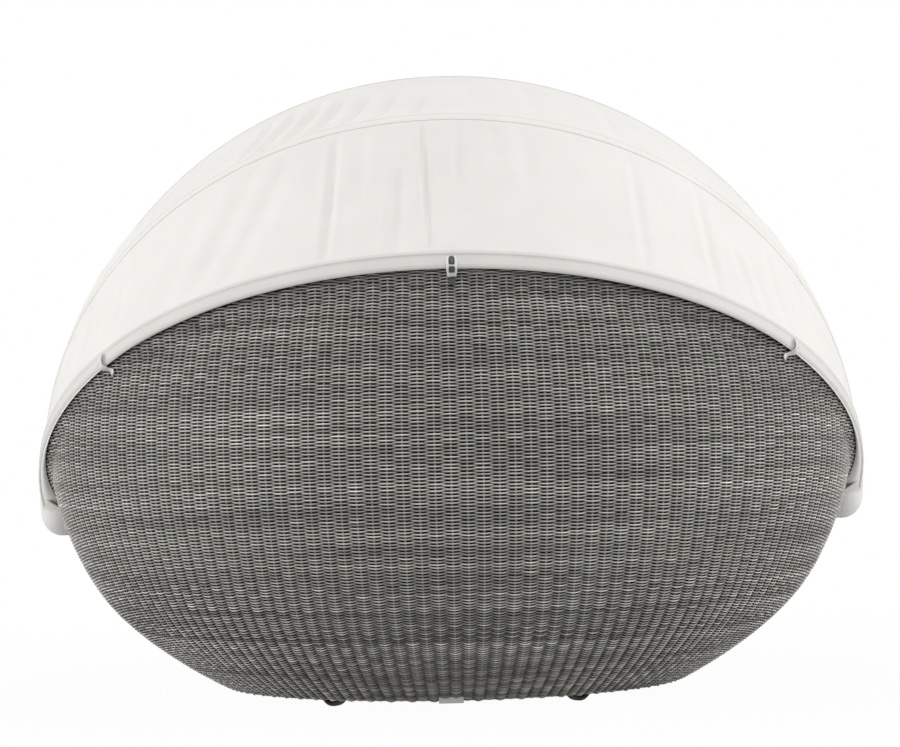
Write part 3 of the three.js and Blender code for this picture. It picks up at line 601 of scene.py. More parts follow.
def bow_point(t, layer, out=0.0, side=0.0):
    """Points by a bow. T goes from 0 at the right to pi at the left, out from the pivots, side to the front."""
    t, out, side = np.broadcast_arrays(*(np.asarray(v, float) for v in (t, out, side)))
    grow = out - layer * BOW_PITCH
    x = power(np.cos(t), 2 / BOW_FULLNESS) * (REAR_HALF_SPAN + grow)
    away = BOW_RISE + np.sin(t) ** (2 / BOW_FULLNESS) * (REAR_REACH - BOW_RISE + grow)
    angle = bow_angle(layer)
    y = -PIVOT_FORWARD + away * math.sin(angle) - side * math.cos(angle)
    z = PIVOT_HEIGHT + away * math.cos(angle) + side * math.sin(angle)
    return np.stack([x, y, z], -1)


def bow_out(t):
    return unit(bow_point(t, 0, 1) - bow_point(t, 0, 0))


def bow_t(start, count):
    return np.linspace(start, np.pi - start, count)


CLOTH_OUT = 4.4
CLOTH_THICK = 1.3
CLOTH_SAG = 7
PANEL_COLUMNS = 420
PANEL_ROWS = 46
EDGE_GAP = 1.5
HELD_SHARE = 0.06
STRIP_REACHES = [0.78, 0.65, 0.54, 0.44, 0.35, 0.27, 0.20, 0.14, 0.08]

# The flap that covers a bow, by its side of the bow and its lift over the cloth as a share
FLAP_REACH = 15.5
FLAP_LIFT = 1.9
FLAP = [
    (-15.5, 0.3), (-14.9, 0.62), (-11.5, 0.75), (-9.7, 0.68), (-8.6, 0.1), (-7.5, 0.62), (-5.5, 0.7),
    (4, 0.5), (9, 0.3),
]

# Each panel bulges a little towards its sides
BULGES = [5, 11, 6]
BULGE_PLACE = 0.62
BULGE_WIDTH = 0.26

# Folds in the cloth between two bows: X at the lower bow and at the upper bow, half width, depth, and from
# and to which share of the way up they run
FOLD_DEPTH = 1.85
FOLD_WIDTH = 0.85
FOLD_FADE = 0.25
FOLD_SHOULDERS = [(0.45, 1.9), (0.3, -2.1)]
FOLDS = {
    0: [
        (232, 214, 9, 3.2, -0.2, 1.1), (170, 160, 16, 1.6, 0.4, 1.2), (96, 84, 14, 3.0, -0.2, 0.75),
        (30, 44, 8, 3.6, -0.2, 1.2), (-22, -30, 10, 2.0, 0.4, 1.2), (-110, -96, 16, 1.1, 0.5, 1.2),
        (-170, -158, 18, 1.0, 0.45, 1.2), (-384, -374, 10, 1.8, -0.2, 1.0), (-528, -506, 10, 3.4, -0.2, 1.1),
        (-600, -560, 11, 2.4, -0.2, 0.7), (-632, -590, 9, 2.4, -0.2, 0.7), (-676, -640, 12, 4.2, -0.1, 1.1),
        (-760, -730, 16, 3.4, 0.1, 1.1), (500, 372, 26, 2.2, -0.2, 1.1), (430, 300, 24, 1.8, -0.1, 1.1),
        (575, 470, 24, 1.6, -0.1, 1.1), (664, 640, 9, 2.4, 0.0, 1.1), (706, 684, 9, 2.8, -0.1, 1.1),
        (756, 738, 10, 2.6, -0.1, 1.1), (800, 786, 10, 2.2, 0.0, 1.1),
    ],
    1: [
        (420, 352, 11, 3.4, -0.2, 1.0), (378, 300, 11, 4.0, -0.2, 1.0), (322, 246, 12, 4.2, -0.2, 0.95),
        (262, 196, 12, 3.6, -0.2, 0.9), (196, 140, 13, 3.0, -0.2, 0.85), (128, 84, 13, 2.4, -0.2, 0.8),
        (56, 26, 13, 2.2, -0.2, 0.75), (-60, -60, 22, 0.9, -0.2, 1.1), (-190, -176, 22, 0.8, -0.2, 1.1),
        (-360, -330, 18, 1.2, -0.1, 1.0), (-520, -470, 16, 1.6, -0.1, 1.0), (-640, -600, 14, 2.2, -0.1, 1.0),
        (640, 590, 14, 2.2, -0.1, 1.0), (560, 500, 14, 2.0, -0.1, 1.0), (730, 706, 11, 2.2, -0.1, 1.0),
        (-730, -706, 11, 2.2, -0.1, 1.0),
    ],
}
FOLDS[2] = [
    (x, x + random.uniform(-30, 30), random.uniform(9, 20), random.uniform(1.0, 3.0), -0.1, 1.1)
    for x in np.linspace(-760, 760, 22) + random.normal(0, 14, 22)
]


def fold_depth(layer, points, share):
    """How far the cloth is pressed in by its folds, at points whose share of the way up is known."""
    depth = np.zeros(points.shape[:2])
    for low, high, wide, deep, start, end in FOLDS[layer]:
        centre = low + (high - low) * share
        off = (points[..., 0] - centre) / (wide * FOLD_WIDTH)
        fade = np.clip((share - start) / FOLD_FADE, 0, 1) * np.clip((end - share) / FOLD_FADE, 0, 1)
        raised = sum(rise * np.exp(-((off - spot) ** 2)) for rise, spot in FOLD_SHOULDERS)
        depth += FOLD_DEPTH * deep * smooth(fade) * (np.exp(-(off**2)) - raised)
    return depth * np.sin(np.pi * np.clip(share * 0.86 + 0.07, 0, 1)) ** 0.7


def panel_surface(layer):
    """The outside of the cloth from one bow to the next, as rows of points going up, and each row's share."""
    t = bow_t(CLOTH_START, PANEL_COLUMNS)
    rows, shares = [], []

    def row(points, share):
        rows.append(points)
        shares.append(share)

    if layer == 0:
        row(bow_point(t, 0, CLOTH_OUT, BAR_HALF_WIDTH - 3), -0.12)
        row(bow_point(t, 0, CLOTH_OUT, BAR_HALF_WIDTH), -0.06)
    else:
        for side, lift in FLAP:
            flap = bow_point(t, layer, CLOTH_OUT + FLAP_LIFT * lift, side)
            row(flap, -0.1 + 0.004 * (side + FLAP_REACH))
    start = bow_point(t, layer, CLOTH_OUT + (0.4 if layer else 0), BAR_HALF_WIDTH + EDGE_GAP)
    end = bow_point(t, layer + 1, CLOTH_OUT, -BAR_HALF_WIDTH - EDGE_GAP)
    inward = unit(bow_point(t, layer, 0) - bow_point(t, layer, 1))
    inward_end = unit(bow_point(t, layer + 1, 0) - bow_point(t, layer + 1, 1))
    from_side = np.minimum(t, np.pi - t)
    sag = CLOTH_SAG * np.sin(t) - BULGES[layer] * np.exp(-(((from_side - BULGE_PLACE) / BULGE_WIDTH) ** 2))
    for share in np.linspace(0, 1, PANEL_ROWS):
        turned = unit(inward * (1 - share) + inward_end * share)
        row(start + (end - start) * share + turned * (sag * math.sin(math.pi * share))[:, None], share)
    for side in (-8, 0, 8, BAR_HALF_WIDTH - 3) if layer + 1 == FRONT_LAYER else (-9, -4):
        row(bow_point(t, layer + 1, CLOTH_OUT, side), 1.05)
    return np.array(rows), np.array(shares)


def surface_normals(grid):
    return unit(np.cross(np.gradient(grid, axis=1), np.gradient(grid, axis=0)))


def outward_normals(grid, axis, sign=1):
    """Normals of a grid, turned so that they point along the axis at its middle."""
    normals = surface_normals(grid)
    facing = normals[grid.shape[0] // 2, grid.shape[1] // 2, axis] * sign
    return normals if facing > 0 else -normals


def panel_grid(layer):
    """The outside of a panel with its folds, and its normals."""
    grid, shares = panel_surface(layer)
    share = np.broadcast_to(shares[:, None], grid.shape[:2])
    held = np.clip(np.minimum(share, 1 - share) / HELD_SHARE, 0, 1)
    grid = grid - outward_normals(grid, 2) * (fold_depth(layer, grid, share) * held)[..., None]
    return grid, outward_normals(grid, 2)


def sheet_object(name, grid, normals, look, body=None, thick=CLOTH_THICK):
    """A thin sheet with both faces and edges, whose shading follows the given normals."""
    rows, columns = grid.shape[:2]
    count = rows * columns
    points = np.concatenate([grid.reshape(-1, 3), (grid - normals * thick).reshape(-1, 3)])
    top = grid_faces(rows, columns)
    loop, ahead = border_of(rows, columns)
    edge = np.stack([loop, loop + count, ahead + count, ahead], -1)
    facing = np.cross(grid[1, 0] - grid[0, 0], grid[0, 1] - grid[0, 0]) @ normals[0, 0]
    if facing > 0:
        top, edge = top[:, ::-1], edge[:, ::-1]
    faces = np.concatenate([top, top[:, ::-1] + count, edge])
    made = mesh_object(name, to_world(points), faces, look, body)
    both = np.concatenate([normals.reshape(-1, 3), -normals.reshape(-1, 3)])
    loops = both[faces.reshape(-1)]
    across = np.cross(points[edge[:, 1]] - points[edge[:, 0]], points[edge[:, 3]] - points[edge[:, 0]])
    loops[-4 * len(edge) :] = np.repeat(unit(across), 4, axis=0)
    made.data.normals_split_custom_set([tuple(n) for n in loops])
    return made


def strips(layer):
    """A panel's strips: part, first and last column, and the reach from the pivots."""
    line = bow_point(bow_t(CLOTH_START, PANEL_COLUMNS), layer)
    reach = np.hypot(line[:, 1] + PIVOT_FORWARD, line[:, 2] - PIVOT_HEIGHT) * MM
    last = PANEL_COLUMNS - 1
    right = [int(np.argmax(reach >= r)) for r in STRIP_REACHES[:-1]] + [0]
    ranges = [("top", right[0], last - right[0], STRIP_REACHES[0])]
    for number in range(1, len(right)):
        near, far = right[number], right[number - 1]
        least = max(STRIP_REACHES[number], float(reach[near]))
        ranges.append((f"right_{number}", near, far, least))
        ranges.append((f"left_{number}", last - far, last - near, least))
    return ranges


def at_bow(layer, reach):
    angle = bow_angle(layer)
    pivot = np.array([0, -PIVOT_FORWARD, PIVOT_HEIGHT])
    return tuple(to_world(pivot + np.array([0, math.sin(angle), math.cos(angle)]) * reach / MM))


def canopy_panel(layer):
    """A panel of cloth between two bows, in strips that are cut by their reach from the pivots."""
    grid, normals = panel_grid(layer)
    for part, first, last, reach in strips(layer):
        cut = grid[:, first : last + 1]
        name = f"canopy_{PANEL_NAMES[layer]}_{part}"
        piece = sheet_object(name, cut, normals[:, first : last + 1], CANVAS)
        at_bow(layer, reach)
        at_bow(layer + 1, reach)
        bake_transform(piece)
        if part == "top":
            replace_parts(piece, f"canopy_{PANEL_NAMES[layer]}_panel")


# Hems: the cloth goes round the outer bars in a sleeve with a welt along its upper edge. The sleeve is tight
# near the pivots, where it clears the bar that it folds onto
HEM_SECTION = [
    (-3.9, 11.4), (-4.5, 6), (-4.5, -9), (-3.8, -14.8), (-1.6, -17.0), (1.6, -17.3), (3.8, -15.8), (4.8, -11),
    (5.0, -4), (4.9, 4), (5.0, 9.0), (5.6, 10.6), (6.9, 11.5), (7.3, 12.9), (7.0, 14.6), (6.2, 17), (5.2, 20),
    (3.4, 21.6), (1.5, 20.0), (0.5, 15.0),
]
HEM_STEPS = 320
HEM_INSIDE = 3.2
HEM_OUTSIDE = 5
HEM_HIGHEST = 7.4
HEM_TIGHT_TO = 0.6
HEM_TIGHT_FADE = 0.15
STITCH_PITCH = 5.2
STITCH_LENGTH = 3.3
STITCH_RADIUS = 0.45
STITCH_SIDES = 5

# Rings of a stitch: place along it and thickness, as shares
STITCH_SHARES = np.array([(-0.5, 0.15), (-0.3, 1), (0.3, 1), (0.5, 0.15)])
FRONT_STITCH_START = 0.62
BEHIND_PIVOTS = -60
SHADE_SHEET_START = math.radians(0.5)


def hem(name, layer, going, body, start):
    t = bow_t(start, HEM_STEPS)
    fade = 0.2 + 0.8 * np.sin(t) ** 2
    tight = smooth((HEM_TIGHT_TO - np.minimum(t, np.pi - t)) / HEM_TIGHT_FADE)
    highest = HEM_HIGHEST - (HEM_HIGHEST - HEM_INSIDE) * (tight if layer == FRONT_LAYER else 0)
    rings = []
    for out, side in HEM_SECTION:
        lift = min(max(out, -HEM_INSIDE), HEM_OUTSIDE) + max(out - HEM_OUTSIDE, 0) * fade
        lift = lift + min(out + HEM_INSIDE, 0) * (1 - tight)
        rings.append(bow_point(t, layer, np.minimum(lift, highest), going * -side))
    rings = capped(np.stack(rings, axis=1))
    faces = grid_faces(len(rings), len(HEM_SECTION), False, True)
    if going < 0:
        faces = faces[:, ::-1]
    return mesh_object(name, to_world(rings), faces, HEM_CANVAS_SHADED, body)


def stitches(name, lines, body):
    """Rows of stitches. Each line is a path and its outward directions."""
    points, faces = [], []
    rings = len(STITCH_SHARES)
    single = grid_faces(rings, STITCH_SIDES, False, True)[:, ::-1]
    turn = ring_turns(STITCH_SIDES)[:, None]
    thick = STITCH_RADIUS * STITCH_SHARES[:, 1, None, None]
    first = 0
    for path, out in lines:
        length = run_length(path)
        starts = np.arange(STITCH_PITCH, length[-1] - STITCH_PITCH, STITCH_PITCH)
        where = starts[:, None] + STITCH_LENGTH * STITCH_SHARES[:, 0]
        at = points_at(where, length, path)[:, :, None]
        off = unit(points_at(where, length, out))[:, :, None]
        side = np.cross(off, unit(at[:, -1:] - at[:, :1]))
        points.append((at + thick * (off * np.cos(turn) + side * np.sin(turn))).reshape(-1, 3))
        number = np.arange(len(starts))[:, None, None]
        faces.append((single + number * rings * STITCH_SIDES + first).reshape(-1, 4))
        first += len(points[-1])
    points, faces = to_world(np.concatenate(points)), np.concatenate(faces)
    return mesh_object(name, points, faces, THREAD, body)


def bow_line(layer, out, side, start=CLOTH_START * 1.6):
    """A line along a bow and its outward directions."""
    t = bow_t(start, 400)
    path = bow_point(t, layer, out, side)
    return path, unit(bow_point(t, layer, out + 1, side) - path)


def nearest_rim(points):
    """The nearest points of the rim tube's middle, behind the pivots."""
    rim = rim_point(angles_at(np.arange(4000) / 4000))
    rim = rim[rim[:, 1] > BEHIND_PIVOTS]
    return rim[np.argmin(np.linalg.norm(points[:, None] - rim[None], axis=2), axis=1)]


def hem_gap_shade():
    """A dark sheet from inside the rear hem down to the rim: painted shade that fills the gap between them."""
    t = bow_t(SHADE_SHEET_START, HEM_STEPS)
    above = bow_point(t, 0, -2.0, 12.0)
    near = nearest_rim(above)
    below = near + unit(above - near) * (RIM_RADIUS - 3.0)
    top = bow_point(t, 0, -3.0, -9.0)
    share = np.linspace(0, 1, 9)[:, None, None]
    grid = below + (top - below) * share + bow_out(t) * (2.0 * np.sin(np.pi * share))
    return sheet_object("hem_gap_shade", grid, surface_normals(grid), HEM_GAP_SHADE_PAINT, "bowl", 0.8)


def hem_gusset(side, word):
    """The cloth's edge at the lower end of the rear hem, which draws in towards the wall."""
    t = np.linspace(SHADE_SHEET_START, math.radians(46), 90)
    reach = np.interp(np.degrees(t), [0, 6, 16, 28, 46], [0.98, 0.9, 0.7, 0.5, 0.0])
    if side < 0:
        t = np.pi - t
    start = bow_point(t, 0, 1.2, -15.5)
    near = nearest_rim(start)
    end = near + unit(start - near) * (WEAVE_LIP + 2)
    share = np.linspace(0, 1, 7)[:, None, None]
    grid = start + (end - start) * reach[:, None] * share
    back = unit(bow_point(t, 0, 0, -1) - bow_point(t, 0))
    grid = grid + back * (6.5 * np.sin(np.pi * share) ** 0.7) * smooth(np.abs(np.cos(t)) * 2 - 0.9)[:, None]
    aside = np.array([side, 0, 0.2]) * (0.6 - 0.3 * share)
    normals = unit(outward_normals(grid, 1) * 0.55 + aside)
    return sheet_object(f"hem_gusset_{word}", grid, normals, CANVAS, "bowl", 1.2)


rear_hem = hem("canopy_rear_hem", 0, -1, "bowl", math.radians(0.6))
hem_gap_sheet = hem_gap_shade()
gussets = [hem_gusset(1, "right"), hem_gusset(-1, "left")]
front_hem = hem("canopy_front_hem", FRONT_LAYER, 1, "bow_3", math.radians(3))
hem_stitches = stitches("hem_stitches_rear", [bow_line(0, 5.1, 8.4), bow_line(0, 4.9, -12.0)], "bowl")
for layer, word in ((1, "rear"), (2, "front")):
    lines = [bow_line(layer, CLOTH_OUT + 0.8, -8.6), bow_line(layer, CLOTH_OUT + 1.0, 9.5)]
    stitches(f"flap_stitches_{word}", lines, BODIES[layer])
lines = [bow_line(FRONT_LAYER, out, side, FRONT_STITCH_START) for out, side in ((5.1, -8.4), (4.9, 12.0))]
stitches("hem_stitches_front", lines, "bow_3")
for layer in range(FRONT_LAYER):
    canopy_panel(layer)

# The round ends of the canopy over the pivots: radius and depth from the middle out, where they are closed
# and in the sector where they open into the canopy
TAB_FACE = 897.4
TAB_CLOSED = [(0.5, 0), (16, 0.4), (31, 6.6), (42, 14.6), (50, 25), (54.6, 37), (55.6, 49), (54, 57)]
TAB_OPEN = [(0.5, 0), (20, 0.4), (40, 2.8), (60, 5.8), (76, 8.2), (88, 9.6), (99, 10.6)]
TAB_SECTOR = (-64, 92)
TAB_FADE = 30
TAB_COLUMNS = 40
TAB_ROWS = 145
TAB_THICK = 1.4
TAB_PIPING = 1.9
TAB_PUCKERS = 9


def softened(values):
    """Values of which all but the two at each end are averaged with their neighbours."""
    soft = values.copy()
    soft[2:-2] = np.convolve(values, np.ones(5) / 5, "valid")
    return soft


def canopy_tab(side, name):
    turn = np.radians(np.linspace(-180, 180, TAB_ROWS))
    degrees = np.degrees(turn)
    opened = smooth((degrees - TAB_SECTOR[0]) / TAB_FADE) * smooth((TAB_SECTOR[1] - degrees) / TAB_FADE)
    opened = opened[:, None]
    fine = np.linspace(0, 1, TAB_COLUMNS)
    columns = [*zip(*TAB_CLOSED), *zip(*TAB_OPEN)]
    closed_r, closed_x, open_r, open_x = (np.interp(fine, np.linspace(0, 1, len(c)), c) for c in columns)
    closed_r, closed_x, open_x = softened(closed_r), softened(closed_x), softened(open_x)
    r = closed_r + (open_r - closed_r) * opened
    x = TAB_FACE - closed_x - (open_x - closed_x) * opened
    x = x + 0.45 * np.sin(TAB_PUCKERS * turn)[:, None] * smooth(r / 50) * (1 - smooth((r - 60) / 30))
    y = -PIVOT_FORWARD + r * np.sin(turn)[:, None]
    z = PIVOT_HEIGHT + r * np.cos(turn)[:, None]
    grid = np.stack([side * x, y, z], -1)
    normals = outward_normals(grid, 0, side)
    piece = sheet_object(name, grid, normals, CANVAS, "bowl", TAB_THICK)
    out = normals[:-1, -1]
    edge = to_world(closed_tube(grid[:-1, -1] - out * TAB_THICK / 2, out, TAB_PIPING, 8))
    faces = grid_faces(TAB_ROWS - 1, 8, True, True)
    piping = mesh_object(f"{name}_edge", edge, faces, CANVAS)
    return piece


for side, word in ((1, "right"), (-1, "left")):
    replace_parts(canopy_tab(side, f"canopy_tab_{word}"), f"canopy_pocket_{word}")

# Clips that hold the rear hem to the rim, bent from flat strap. A path's points are out from the pivots and
# to the front, and after it come the widths along it and the thickness
BOW_STEPS = 31
HOOKS = {"right": 6, "centre": 15, "left": 24}
CLIP_ASIDE = 9.5
STRAP_PATH = [(8.8, 4), (10.4, -1), (10.4, -10), (10, -17), (7, -21.5), (1, -24.5), (-6, -26), (-12, -27.5)]
SIDE_PATH = STRAP_PATH[:5]
SIDE_PATH += [(2, -23.2), (-5, -23.8), (-11, -24.4), (-14.5, -26), (-15.8, -30), (-16.6, -34.5)]
STRAP_SECTION = [(1, 0.35), (0.94, 1), (-0.94, 1), (-1, 0.35)]
STRAP_SECTION += [(x, -y) for x, y in STRAP_SECTION[::-1]]
CLIP_PARTS = {
    "centre": [
        ("strap", STRAP_PATH, [15, 20, 21, 21, 21, 20, 19, 17], 2.4),
        ("tongue", [(9.6, 3), (11.8, 0), (12.0, -6), (12.0, -12), (11.4, -16)], [6, 11, 12, 12, 11], 2.4),
        # The slot is a thin dark piece laid on the strap: painted shade of a slot through it
        ("slot", [(10.4, -19.4), (9.0, -22.4), (5.4, -25.6), (1, -27.4)], [10, 12, 12, 11], 1.4),
        ("foot", [(-12.8, -29), (-13.2, -33), (-14.0, -39), (-15.4, -43)], [9, 12, 12, 9], 1.6),
    ],
    "side": [
        ("strap", SIDE_PATH, [15, 20, 21, 20, 18, 16, 11, 11, 16, 18, 17], 2.6),
        ("tongue", [(9.8, 9), (12.2, 5), (12.4, -3), (12.4, -10), (11.0, -14.5)], [7, 10, 11, 11, 9], 3.0),
    ],
}


def strap(path, widths, thick):
    """A flat strap along a path of (out, side) points, with rounded corners."""
    path = np.array(path, float)
    for _ in range(2):
        ahead, behind = (path[1:] * 3 + path[:-1]) / 4, (path[1:] + path[:-1] * 3) / 4
        inner = np.stack([behind, ahead], 1).reshape(-1, 2)[1:-1]
        path = np.concatenate([path[:1], inner, path[-1:]])
    widths = np.interp(np.linspace(0, 1, len(path)), np.linspace(0, 1, len(widths)), widths)
    along = unit(np.gradient(path, axis=0))
    rings = []
    for (x, z), (ax, az), wide in zip(path, along, widths):
        section = [(wide / 2 * a, thick / 2 * b) for a, b in STRAP_SECTION]
        rings.append([(x + az * deep, aside, z - ax * deep) for aside, deep in section])
    rings = capped(np.array(rings))
    return rings, grid_faces(len(rings), len(STRAP_SECTION), False, True)


def clip(word, segment):
    """A clip: a strap over the hem and under it to the rim, with a tongue on it."""
    t = bow_t(CLOTH_START, BOW_STEPS + 1)[segment : segment + 2].mean()
    at = bow_point(t, 0)
    up = unit(bow_point(t, 0, 0, 1) - at)
    out = bow_out(np.array([t]))[0]
    kind = "centre" if word == "centre" else "side"
    if kind == "side":
        out = unit(out * 0.4 + np.array([np.sign(at[0]) * 0.6, 0, 0]))
    out = unit(out - up * (out @ up))
    along = np.cross(up, out)
    if kind == "centre":
        at = at - [CLIP_ASIDE, 0, 0]
    for part, path, widths, thick in CLIP_PARTS[kind]:
        local, faces = strap(path, widths, thick)
        dark = kind == "centre" and part != "strap"
        points = to_world(at + local @ np.array([out, along, up]))
        made = mesh_object(f"clip_{word}_{part}", points, faces, CLIP_DARK if dark else CLIP)
        if part == "strap":
            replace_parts(made, f"rim_hook_{word}")


for word, segment in HOOKS.items():
    clip(word, segment)

# Castor wheels, turned about their axles. Each profile's points are radius and place along the axle
WHEEL_STEPS = 56
TYRE_PROFILE = [(21.3, -9.5), (26, -11.4), (29.4, -11), (31.2, -8.6), (31.8, -4), (31.8, -1.2), (30.9, -0.8)]
TYRE_PROFILE += [(30.9, 0.8)] + [(r, -x) for r, x in TYRE_PROFILE[5::-1]]
HUB_PROFILE = [(4.3, -10.8), (8, -10.8), (9, -9.6), (11.5, -5.6), (17, -5), (18.4, -7.6), (20.9, -8.4)]
HUB_PROFILE += [(r, -x) for r, x in HUB_PROFILE[::-1]]


def wheel_part(profile, joint, word, look):
    """A tyre or hub round a wheel's axle."""
    body = joint["child"]
    corner = body[len("castor_wheel_") :]
    axis = Vector(joint["axis"]).normalized()
    side = np.array(axis.cross(Vector((0, 0, 1))).normalized())
    profile = np.array(profile) * MM
    turn = ring_turns(WHEEL_STEPS)[:, None]
    spoke = side * np.cos(turn) + np.array([0, 0, 1.0]) * np.sin(turn)
    points = np.array(joint["pos_m"]) + spoke[:, None] * profile[:, :1] + np.array(axis) * profile[:, 1:]
    faces = grid_faces(WHEEL_STEPS, len(profile), True, True)
    made = mesh_object(f"{word}_{corner}", points, faces, look, body)
    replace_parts(made, f"castor_{word}_{corner}")


for joint in frame["joints"]:
    if joint["child"].startswith("castor_wheel_"):
        wheel_part(TYRE_PROFILE, joint, "tyre", RUBBER)
        wheel_part(HUB_PROFILE, joint, "hub", PLASTIC)

# Bare plate on the lower border
PLATE_HEIGHT = 23
PLATE_PROUD = 1.2
PLATE_SHIFT = [10, 0.5, -0.5]
PLATE_LEAN = math.radians(-6)
PLATE_SIZE = (49, 13)
PLATE_THICK = 1.2
PLATE_EDGE = 0.4


def bare_plate():
    bm = bmesh.new()
    bmesh.ops.create_grid(bm, x_segments=12, y_segments=4, size=0.5)
    data = bpy.data.meshes.new("bare_plate")
    bm.to_mesh(data)
    bm.free()
    made = new_object("bare_plate", data)
    at = egg(PLATE_HEIGHT, np.pi / 2, -PLATE_PROUD)[0] + PLATE_SHIFT
    turned = Matrix.Rotation(PLATE_LEAN, 4, "X") @ Matrix.Rotation(math.radians(90), 4, "X")
    size = Matrix.Diagonal((PLATE_SIZE[0] * MM, PLATE_SIZE[1] * MM, 1, 1))
    data.transform(Matrix.Translation(Vector(to_world(at))) @ turned @ size)
    data.materials.append(PLATE)
    modify(made, "thick", "SOLIDIFY", thickness=PLATE_THICK * MM, offset=0)
    modify(made, "edge", "BEVEL", width=PLATE_EDGE * MM, segments=2)
    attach(made, "bowl")


bare_plate()

# Mattress and back cushions. The mattress's side is given as shares of its half size and of its thickness
MATTRESS_HALF = (790, 700)
MATTRESS_BOTTOM = 247.6
MATTRESS_THICK = 158
MATTRESS_CROWN = 22
MATTRESS_STEPS = 180
MATTRESS_SIDE_SHARES = [
    (0.86, 0), (0.893, 0.012), (0.912, 0.05), (0.917, 0.1), (0.91, 0.17), (0.903, 0.25), (0.902, 0.36),
    (0.91, 0.5), (0.925, 0.63), (0.944, 0.75), (0.965, 0.83), (0.983, 0.89), (0.991, 0.945), (0.982, 0.985),
    (0.962, 1.0),
]
SEAM_SHARES = {"top": 0.945, "bottom": 0.085}
MATTRESS_RIPPLES = {"top": (150, 1.4), "bottom": (130, 0.8)}
RIPPLE_REACH = 0.022
MATTRESS_CORD = 4.2
CUSHION_CORD = 3.5
CUSHION_STEPS = 40
CUSHION_EDGE = 7
CUSHION_WAIST = 0.07
SEAM_SHARE = 0.96
CUSHION_RIPPLES = (46, 1.6)

# Width, height, thickness, and how far each is turned and leans, in degrees
BACK_CUSHIONS = {
    "right": (480, 390, 150, -40, 4),
    "centre": (560, 410, 150, 0, 7),
    "left": (480, 390, 150, 40, 4),
}
SWELL_FRAMES = 20
SWELL_PRESSURE = 4


def applied(made):
    """The object's mesh with its modifiers applied."""
    seen = made.evaluated_get(bpy.context.evaluated_depsgraph_get())
    fresh = bpy.data.meshes.new_from_object(seen)
    made.modifiers.clear()
    old = made.data
    made.data = fresh
    bpy.data.meshes.remove(old)


def corners_of(data):
    points = np.empty(len(data.vertices) * 3, np.float32)
    data.vertices.foreach_get("co", points)
    return points.reshape(-1, 3).astype(float)


def box_of(made):
    points = np.array([made.matrix_world @ Vector(corner) for corner in made.bound_box])
    return points.min(0), points.max(0)


def swell(made, cap):
    """Lets a cover swell over its filling by a short simulation. No point moves further than the cap."""
    before = corners_of(made.data)
    cover = made.modifiers.new("cover", "CLOTH")
    cover.settings.quality = 3
    cover.settings.use_pressure = True
    cover.settings.uniform_pressure_force = SWELL_PRESSURE
    cover.settings.effector_weights.gravity = 0
    cover.collision_settings.use_collision = False
    cover.point_cache.frame_start = 1
    cover.point_cache.frame_end = SWELL_FRAMES
    for number in range(1, SWELL_FRAMES + 1):
        scene.frame_set(number)
    move = corners_of(made.evaluated_get(bpy.context.evaluated_depsgraph_get()).data) - before
    made.modifiers.clear()
    length = np.linalg.norm(move, axis=1, keepdims=True)
    after = before + move * np.minimum(1, cap / np.maximum(length, 1e-9))
    made.data.vertices.foreach_set("co", after.astype(np.float32).ravel())
    scene.frame_set(1)


def padded_form(name, points, faces, fitted, voxel, cap):
    """A padded cover: evenly meshed, swollen, smoothed and then fitted to its size."""
    made = mesh_object(name, points, faces, CUSHION, None)
    modify(made, "even", "REMESH", mode="VOXEL", voxel_size=voxel)
    applied(made)
    swell(made, cap)
    modify(made, "smooth", "SMOOTH", iterations=3)
    modify(made, "finer", "SUBSURF", levels=1, render_levels=1)
    applied(made)
    points = fitted(corners_of(made.data))
    made.data.vertices.foreach_set("co", points.astype(np.float32).ravel())
    made.data.polygons.foreach_set("use_smooth", np.ones(len(made.data.polygons), bool))
    made.data.update()
    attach(made, "bowl")
    return made


def cord(name, made, starts, aims, radius):
    """A piped seam where lines from the starts towards the aims meet a cushion."""
    path, out = [], []
    tree = BVHTree.FromObject(made, bpy.context.evaluated_depsgraph_get())
    for start, aim in zip(starts, aims):
        start, aim = Vector(start), Vector(aim)
        at, normal, _, _ = tree.ray_cast(start, (aim - start).normalized())
        if at:
            path.append(at)
            out.append(normal if normal.dot(start - aim) > 0 else -normal)
    points = closed_tube(np.array(path), np.array(out), radius * MM, 10)
    mesh_object(name, points, grid_faces(len(path), 10, True, True), PIPING)


def ripples(where, count):
    """Small puckers along a seam, repeating from 0 to 1."""
    total = np.zeros(np.shape(where))
    for number in range(count // 2, count):
        total += math.cos(number * 2.4) * np.cos(2 * np.pi * (number * where + 0.37 * number**1.5))
    return total / math.sqrt(count / 2)


